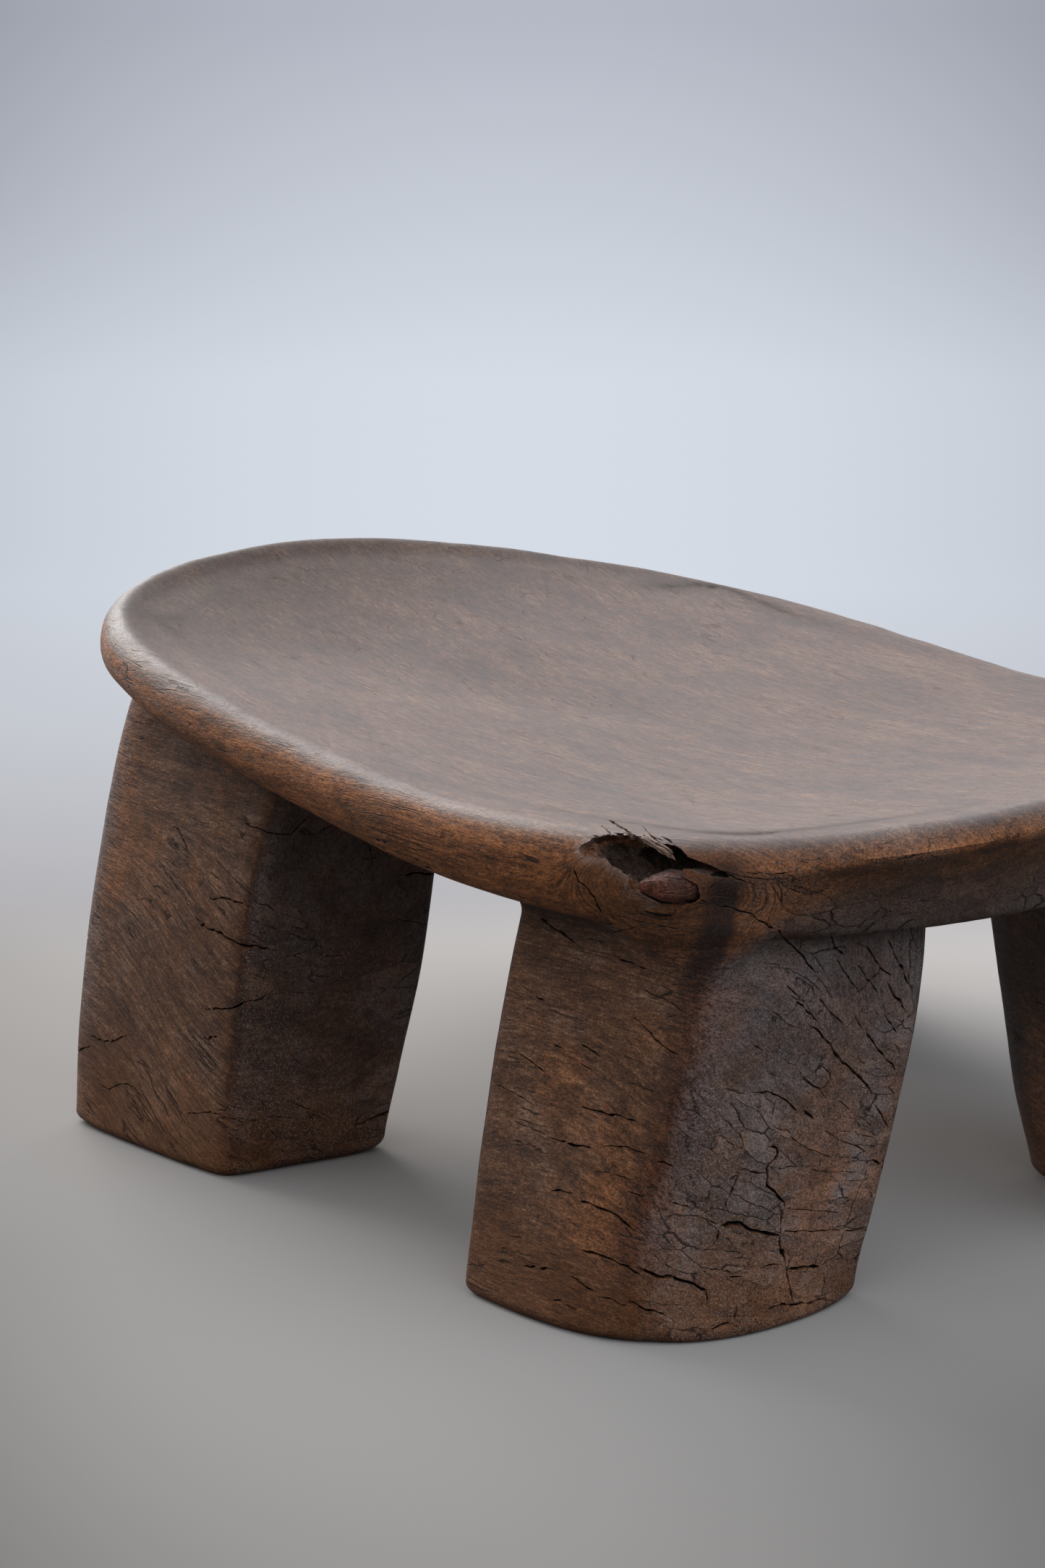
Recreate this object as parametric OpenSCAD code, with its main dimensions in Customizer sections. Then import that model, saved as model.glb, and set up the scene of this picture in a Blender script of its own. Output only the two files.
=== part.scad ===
// Low carved stool: a shallow dished seat with four blunt corners, on four splayed legs
// of diamond section. The real stool is cut from one block of hardwood, so each leg meets
// the seat's underside face to face along its carved crease. A dead knot of the log sits
// in its own socket, in the broken rim over the front leg. Millimetres, +Z up, floor at 0.

/* [Seat outline] */
// Width of the seat between opposite flat sides
seat_across = 315; // [280:1:340]
// Squareness of the outline, where 2 is a circle
seat_squareness = 3.2; // [2.4:0.1:4]
// Turn of the outline about the vertical, in degrees
seat_turn = -3; // [-10:1:10]
// Place of the seat's middle on the floor plan, X and Y
seat_middle = [5.6, -1.7]; // [-20:0.1:20]

/* [Rim] */
// Mean height of the rim's crest above the floor
rim_height = 134; // [125:1:160]
// Rise of the crest on its high side, and its fall opposite
rim_tilt = 18; // [0:1:20]
// Compass way of the high side, in degrees
rim_tilt_way = 169; // [90:1:270]
// Warp of the crest, up on one diagonal and down on the other
rim_warp = 10; // [0:1:12]
// Compass way of the diagonal that the warp lifts, in degrees
rim_warp_way = 143; // [90:1:180]
// Mean thickness of the rim, from crest to underside
rim_edge = 24.5; // [20:0.5:27]
// Extra thickness of the rim on its thick side
rim_edge_extra = 8.5; // [0:0.5:9]
// Compass way of the thick side, in degrees
rim_edge_way = -10; // [-90:1:90]
// Reach of the rounded lip in from the rim's outer face
lip_reach = 9; // [6:1:14]
// Fall of the lip from its crest to the outermost line of the rim
lip_fall = 8; // [5:1:10]
// Reach of the rounded lower edge of the rim
under_reach = 13; // [8:1:18]

/* [Dish and underside] */
// Depth of the dish below the crest
dish_depth = 14; // [8:1:18]
// Thickness of the seat at its middle
seat_thickness = 29; // [22:1:34]

/* [Legs: front, left, right, back] */
// Compass way of each leg from the seat's middle, in degrees
leg_way = [267.7, 186.5, 334, 87]; // [0:1:360]
// Turn of each leg's section about its own centre line, in degrees
leg_turn = [-2, -16, 12, 0]; // [-24:1:24]
// Outward splay of each leg, in degrees
leg_splay = [7, 9.5, 9, 9]; // [4:0.5:12]
// Sideways lean of each leg, anticlockwise seen from above, in degrees
leg_lean = [-9.5, -1, 2.5, 0]; // [-10:0.5:10]
// Distance from each leg's outer ridge out to the rim's outline, at the legs' set height
rim_overhang = [3, -2, 3, 3]; // [-2:1:10]
// Half width of each leg from its centre line to its worn outer ridge
leg_out = [39, 51, 43, 46]; // [34:1:56]
// Half width of each leg from its centre line to its inner ridge
leg_in = [42, 49, 39, 44]; // [34:1:54]
// Half width of each leg from its centre line to its side ridges
leg_side = [52, 43, 46, 49]; // [34:1:56]
// Shift of a leg's right-hand ridge outwards and of its left-hand one inwards, seen
// from the seat's middle
leg_skew = [0, 11, 0, 0]; // [-14:1:14]

/* [Leg shape] */
// Height at which the legs' widths and places are set
crease_height = 100; // [90:1:110]
// Length that the rounding of each outer ridge takes off each face
ridge_round = [17, 8, 14, 14]; // [6:1:22]
// Length that the rounding of the other ridges takes off each face
edge_round = 5; // [3:1:12]
// Bulge of each hewn face past a flat one
face_bulge = 1.5; // [0:0.5:3]
// Narrowing of each leg at its foot, on each side
foot_taper = 3; // [0:0.5:5]
// Fullness of each leg at half height
leg_belly = 2; // [0:0.5:4]
// Radius of the worn edge round each foot
foot_round = 5; // [2:0.5:8]
// Radius of the carved blend between leg and seat
crease_round = 6; // [3:0.5:9]

/* [Knot and broken rim] */
// Compass way of the knot from the seat's middle, in degrees
knot_way = 263; // [255:1:275]
// Depth of the knot's middle below the crest
knot_drop = 10; // [8:0.5:13]
// Length of the knot along the rim
knot_length = 16; // [10:0.5:20]
// Height of the knot's blunt end
knot_height = 8; // [5:0.5:10]
// Depth of the knot's tail in the wood
knot_depth = 11; // [6:0.5:14]
// Distance that the knot stands proud of the rim's outer face
knot_proud = 1; // [0.6:0.1:2]
// Clearance round the knot in its socket
knot_gap = 0.2; // [0.1:0.05:0.4]
// Length of the break in the lip, along the rim
break_length = 24; // [14:1:30]
// Depth of the break below the crest
break_depth = 9; // [6:0.5:12]

/* [Hidden] */
front = 0;
left = 1;
right = 2;
back = 3;
seat_sides = 72;
dish_rings = 7;
lip_steps = 4;
under_steps = 4;
belly_rings = 5;
shaft_rings = 6;
blend_steps = 4;
foot_steps = 3;
cap_rings = 3;
corner_steps = 4;
face_steps = 3;
knot_fn = 24;
worn_share = 0.35;

// Height of the underside at the seat's middle
under_middle = rim_height - dish_depth - seat_thickness;

// Radius of the seat's outline at a compass way, a superellipse with blunt corners
function outline(way) =
    let (a = way - seat_turn - 45)
    seat_across / 2 / pow(pow(abs(cos(a)), seat_squareness) + pow(abs(sin(a)), seat_squareness),
        1 / seat_squareness);

// Height of the tilted and warped rim plane, at a fraction of the outline's radius
function rim_plane(way, part) =
    rim_height + rim_tilt * part * cos(way - rim_tilt_way)
        + rim_warp * part * part * cos(2 * (way - rim_warp_way));

// Thickness of the rim from crest to underside
function edge_thickness(way) = rim_edge + rim_edge_extra * cos(way - rim_edge_way);

// Height of the dished top, inside the lip
function dish_z(way, part) =
    let (inner = 1 - lip_reach / outline(way))
    rim_plane(way, part) - dish_depth * (1 - pow(part / inner, 2));

// Height of the underside, from the middle out to the rim's rounded lower edge
function under_z(way, part) =
    let (r = outline(way),
        inset = max(0, r * (1 - part)),
        low = rim_plane(way, 1) - edge_thickness(way),
        belly = 1 - under_reach / r,
        turn = 1 - inset / under_reach)
    inset > under_reach
        ? under_middle + (low - under_middle) * pow(part / belly, 2)
        : rim_plane(way, 1) - lip_fall - (edge_thickness(way) - lip_fall) * sqrt(1 - turn * turn);

// Height of the underside over a point of the plan
function under_at(p) =
    let (q = p - seat_middle, way = atan2(q[1], q[0]))
    under_z(way, min(1, norm(q) / outline(way)));

// Point of the seat at a compass way, a fraction of the radius and a height
function seat_point(way, part, z) =
    [seat_middle[0] + outline(way) * part * cos(way),
        seat_middle[1] + outline(way) * part * sin(way), z];

// Half a section of the seat, from the middle of the dish over the lip to the middle below
function seat_section(way) =
    let (r = outline(way), inner = 1 - lip_reach / r, belly = 1 - under_reach / r,
        thick = edge_thickness(way))
    concat(
        [for (k = [1:dish_rings]) let (part = inner * k / dish_rings)
            seat_point(way, part, dish_z(way, part))],
        [for (k = [1:lip_steps]) let (a = 90 * k / lip_steps, part = 1 - lip_reach * (1 - sin(a)) / r)
            seat_point(way, part, rim_plane(way, part) - lip_fall * (1 - cos(a)))],
        [for (k = [1:under_steps]) let (a = 90 * k / under_steps,
                part = 1 - under_reach * (1 - cos(a)) / r)
            seat_point(way, part, rim_plane(way, 1) - lip_fall - (thick - lip_fall) * sin(a))],
        [for (k = [belly_rings - 1:-1:1]) let (part = belly * k / belly_rings)
            seat_point(way, part, under_z(way, part))]);

// Faces of a closed skin over rings of points, with a last point at each end
function skin_faces(rings, sides) =
    let (first = rings * sides, last = first + 1)
    concat(
        [for (j = [0:rings - 2], i = [0:sides - 1]) let (n = (i + 1) % sides)
            each [[j * sides + i, j * sides + n, (j + 1) * sides + n],
                [j * sides + i, (j + 1) * sides + n, (j + 1) * sides + i]]],
        [for (i = [0:sides - 1]) [first, (i + 1) % sides, i]],
        [for (i = [0:sides - 1]) let (top = (rings - 1) * sides)
            [last, top + i, top + (i + 1) % sides]]);

// The seat before the break and the knot's socket are cut
module seat_blank() {
    sections = [for (i = [0:seat_sides - 1]) seat_section(360 * i / seat_sides)];
    rings = len(sections[0]);
    points = concat(
        [for (j = [0:rings - 1], i = [0:seat_sides - 1]) sections[i][j]],
        [seat_point(0, 0, dish_z(0, 0)), seat_point(0, 0, under_middle)]);
    polyhedron(points = points, faces = skin_faces(rings, seat_sides), convexity = 6);
}

// Corner k of a leg's diamond section before it is rounded, outer ridge first and then
// anticlockwise: a rounding takes a fixed share of its own length off a square corner
function corner(leg, k) =
    let (ridge = ridge_round[leg] * worn_share, edge = edge_round * worn_share)
    [[leg_out[leg] + ridge, 0], [-leg_skew[leg], leg_side[leg] + edge],
        [-leg_in[leg] - edge, 0], [leg_skew[leg], -leg_side[leg] - edge]][k % 4];

function unit(v) = v / norm(v);

// Start and end of the rounding of corner k
function corner_end(leg, k, to) =
    let (c = corner(leg, k), cut = k % 4 == 0 ? ridge_round[leg] : edge_round)
    c + unit(corner(leg, to) - c) * cut;

// Section of a leg about its centre line: rounded corners joined by slightly bulged faces
function leg_section(leg) =
    [for (k = [0:3])
        let (a = corner_end(leg, k, k + 3), c = corner(leg, k), b = corner_end(leg, k, k + 1),
            n = corner_end(leg, k + 1, k), out = unit([n[1] - b[1], b[0] - n[0]]))
        each concat(
            [for (s = [0:corner_steps]) let (t = s / corner_steps)
                (1 - t) * (1 - t) * a + 2 * t * (1 - t) * c + t * t * b],
            [for (s = [1:face_steps]) let (t = s / (face_steps + 1))
                b + (n - b) * t + out * face_bulge * 4 * t * (1 - t)])];

// Way that a leg's section faces, and the centre of the leg at a height
function facing(leg) = leg_way[leg] + leg_turn[leg];
function leg_centre(leg, z) =
    let (w = leg_way[leg],
        reach = outline(w) - rim_overhang[leg] - leg_out[leg],
        out = [cos(w), sin(w)],
        side = [-sin(w), cos(w)],
        below = crease_height - z)
    seat_middle + out * (reach + below * tan(leg_splay[leg])) + side * below * tan(leg_lean[leg]);

// A point of a leg's skin, grown by a distance all round, at a height
function leg_point(leg, p, grow, z) =
    let (t = z / crease_height,
        full = grow - foot_taper * (1 - t) + leg_belly * 4 * t * (1 - t),
        q = p * (1 + full / norm(p)),
        f = facing(leg))
    leg_centre(leg, z) + [q[0] * cos(f) - q[1] * sin(f), q[0] * sin(f) + q[1] * cos(f)];

// Height at which a point of the leg's skin meets the underside of the seat
function meet(leg, p, grow, z, tries = 3) =
    tries == 0 ? z : meet(leg, p, grow, under_at(leg_point(leg, p, grow, z)), tries - 1);

// One leg, from its flat foot up to the seat's underside
module leg_solid(leg) {
    section = leg_section(leg);
    sides = len(section);
    tops = [for (p = section) meet(leg, p, crease_round, crease_height)];
    foot = [for (s = [0:foot_steps - 1]) let (a = 90 * s / foot_steps)
        [-foot_round * (1 - sin(a)), foot_round * (1 - cos(a))]];
    blend = [for (s = [1:blend_steps]) let (t = s / blend_steps)
        [crease_round * (1 - sqrt(1 - t * t)), crease_round * (1 - t)]];
    rows = concat(
        [for (f = foot) [for (i = [0:sides - 1])
            concat(leg_point(leg, section[i], f[0], f[1]), f[1])]],
        [for (s = [0:shaft_rings]) [for (i = [0:sides - 1])
            let (z = foot_round + (tops[i] - crease_round - foot_round) * s / shaft_rings)
            concat(leg_point(leg, section[i], 0, z), z)]],
        [for (b = blend) [for (i = [0:sides - 1])
            let (z = tops[i] - b[1])
            concat(leg_point(leg, section[i], b[0], z), z)]]);
    rim = rows[len(rows) - 1];
    crown = leg_centre(leg, crease_height);
    caps = [for (k = [cap_rings - 1:-1:1]) [for (p = rim)
        let (q = crown + ([p[0], p[1]] - crown) * k / cap_rings) concat(q, under_at(q))]];
    rings = concat(rows, caps);
    sole = leg_centre(leg, 0);
    points = concat([for (r = rings) each r], [concat(sole, 0), concat(crown, under_at(crown))]);
    polyhedron(points = points, faces = [for (f = skin_faces(len(rings), sides)) [f[2], f[1], f[0]]],
        convexity = 4);
}

// Puts a child on the rim at the knot, X outwards and Y along the rim
module at_knot() {
    translate(seat_point(knot_way, 1, rim_plane(knot_way, 1) - knot_drop))
        rotate([0, 0, knot_way])
            children();
}

// The knot's form: a blunt end, a pointed end and a tail that runs into the wood
module knot_form(grow) {
    blunt = knot_height / 2;
    point = blunt * 0.4;
    tail = blunt * 0.6;
    hull() {
        translate([knot_proud - blunt, knot_length / 2 - blunt, 0])
            sphere(r = blunt + grow, $fn = knot_fn);
        translate([knot_proud - point, point - knot_length / 2, 0])
            sphere(r = point + grow, $fn = knot_fn);
        translate([knot_proud + tail - knot_depth, 0, 0])
            sphere(r = tail + grow, $fn = knot_fn);
    }
}

// The piece broken out of the lip: a pocket behind it that runs out above the knot
module lip_break() {
    wide = break_depth / 2;
    narrow = wide * 0.6;
    hull() {
        translate([-wide, 0, knot_drop - break_depth + wide])
            sphere(r = wide, $fn = knot_fn);
        translate([-2 * wide, -break_length / 2 + narrow, knot_drop])
            sphere(r = narrow, $fn = knot_fn);
        translate([-2 * wide, break_length / 2 - narrow, knot_drop + narrow])
            sphere(r = narrow, $fn = knot_fn);
        translate([0, -narrow, knot_height / 2 + narrow / 2])
            sphere(r = narrow, $fn = knot_fn);
    }
}

module seat() {
    color("#8a7568")
        difference() {
            seat_blank();
            at_knot() knot_form(knot_gap);
            at_knot() lip_break();
        }
}

module front_leg() {
    color("#6f5240") leg_solid(front);
}

module left_leg() {
    color("#67493a") leg_solid(left);
}

module right_leg() {
    color("#5a4032") leg_solid(right);
}

module back_leg() {
    color("#644738") leg_solid(back);
}

module rim_knot() {
    color("#7a3f28") at_knot() knot_form(0);
}

seat();
front_leg();
left_leg();
right_leg();
back_leg();
rim_knot();
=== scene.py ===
import math

import bmesh
import bpy
import numpy as np
from mathutils import Euler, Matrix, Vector
from mathutils.bvhtree import BVHTree
from mathutils.kdtree import KDTree


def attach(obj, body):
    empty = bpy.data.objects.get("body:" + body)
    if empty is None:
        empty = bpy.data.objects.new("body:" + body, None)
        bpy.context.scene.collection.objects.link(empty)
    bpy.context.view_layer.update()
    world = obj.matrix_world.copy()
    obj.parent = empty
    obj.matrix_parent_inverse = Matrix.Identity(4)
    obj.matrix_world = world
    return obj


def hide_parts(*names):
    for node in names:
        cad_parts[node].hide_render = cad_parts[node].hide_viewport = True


bl_info = {
    "name": "Carved Stool",
    "version": (1, 0, 0),
    "blender": (4, 5, 0),
    "location": "3D View > Sidebar > Stool",
    "description": "A low stool carved from one block, with a dished seat and four splayed legs",
    "category": "Add Mesh",
}

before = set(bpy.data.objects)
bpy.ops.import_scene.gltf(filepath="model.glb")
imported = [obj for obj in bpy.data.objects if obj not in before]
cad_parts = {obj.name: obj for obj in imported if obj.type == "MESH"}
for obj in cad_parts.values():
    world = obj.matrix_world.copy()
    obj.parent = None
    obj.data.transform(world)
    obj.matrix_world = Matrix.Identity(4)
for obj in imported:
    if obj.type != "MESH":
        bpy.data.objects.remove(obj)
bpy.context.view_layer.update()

MM = 0.001
TAU = 2 * math.pi

# Corner lines of each leg, from the outer ridge on anticlockwise, seen from above: a line of
# text for each corner, with its X and Y in millimetres at each of these heights. With them go
# the corners' roundness, the reach of their carved blend into the seat, the flare of each
# face's foot, and the rows and sides of the leg's mesh. The front leg's blend sharpens past
# its ridge.
LEG_HEIGHTS = (0, 25, 50, 75, 100, 125, 150)
LEGS = {
    "front_leg": {
        "corners": """
            -23,-187 -20.5,-186 -14.5,-184.5 -8.5,-182 -2.5,-179.5 2,-174 6,-168
            35.5,-145.5 41,-145 46.5,-143 51.5,-140 53.5,-137 54,-134 54,-130
            -14,-110 -9.5,-105 -5,-101 -1,-98 3,-95 6,-92 8,-90
            -68.3,-144.5 -65.8,-143 -62.6,-141.5 -58.8,-139.5 -54,-136.5 -48,-133 -41,-129
        """,
        "round": (6.5, 1.8, 2.5, 2.0),
        "blend": (18, 2.5, 7, 5),
        "foot": (8, 0, 0, 2.5),
        "sharp": 0.86,
        "rows": 150,
        "sides": 360,
    },
    "left_leg": {
        "corners": """
            -187.5,1 -186.3,1 -183.6,1.5 -179.8,2 -175.2,2 -169,2 -160,2
            -137,-55 -134,-55.5 -131.5,-55 -128.5,-54.5 -122.5,-54 -113,-52 -104,-49
            -90,-28 -85,-27.5 -79.5,-27 -75.5,-26 -73,-25 -72,-24 -71,-23
            -140,29 -136,31 -132,32 -128,32 -123,31 -116,29 -106,26
        """,
        "round": (3.0, 2.0, 2.2, 3.5),
        "blend": (5, 4, 5, 6),
        "foot": (0, 0, 0, 0),
        "rows": 120,
        "sides": 300,
    },
    "right_leg": {
        "corners": """
            174,-68.5 172.5,-68 169.5,-68 166,-67 161,-66.5 155,-65 148,-63
            141,-14 138,-11 134,-9.5 130,-8.5 126,-8.5 122,-9 117,-10
            92,-49 86.5,-48 82.5,-46.5 78.5,-45.5 75,-45 73,-45 72,-45
            120,-101 115.5,-102.5 111,-103 107,-102.5 103,-101 99,-98 95,-94
        """,
        "round": (4.5, 2.5, 2.0, 2.0),
        "blend": (6, 5, 4, 4),
        "foot": (0, 0, 0, 0),
        "rows": 110,
        "sides": 280,
    },
    "back_leg": {
        "corners": """
            16,192 16,190.5 15.5,188 15,184.5 15,179.5 14,173 13,165
            -34.5,147 -37,143.5 -38.5,139 -39,135 -38.5,131 -37,127 -34,122
            11,101.5 10.5,95 10.5,90 10,86 10,82.5 10,80 10,78
            61,142 63,138 64,133.5 64,129.5 63,126 61,121 57,116
        """,
        "round": (4.5, 2.0, 3.0, 2.0),
        "blend": (6, 5, 5, 5),
        "foot": (0, 0, 0, 0),
        "rows": 110,
        "sides": 280,
    },
}

# Width and depth in millimetres of each size of drying crack, from hairlines to open ones.
CRACK_SIZES = {1: (0.27, 0.8), 2: (0.38, 1.2), 3: (0.52, 1.6), 4: (0.74, 2.2), 5: (1.05, 3.0)}

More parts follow.
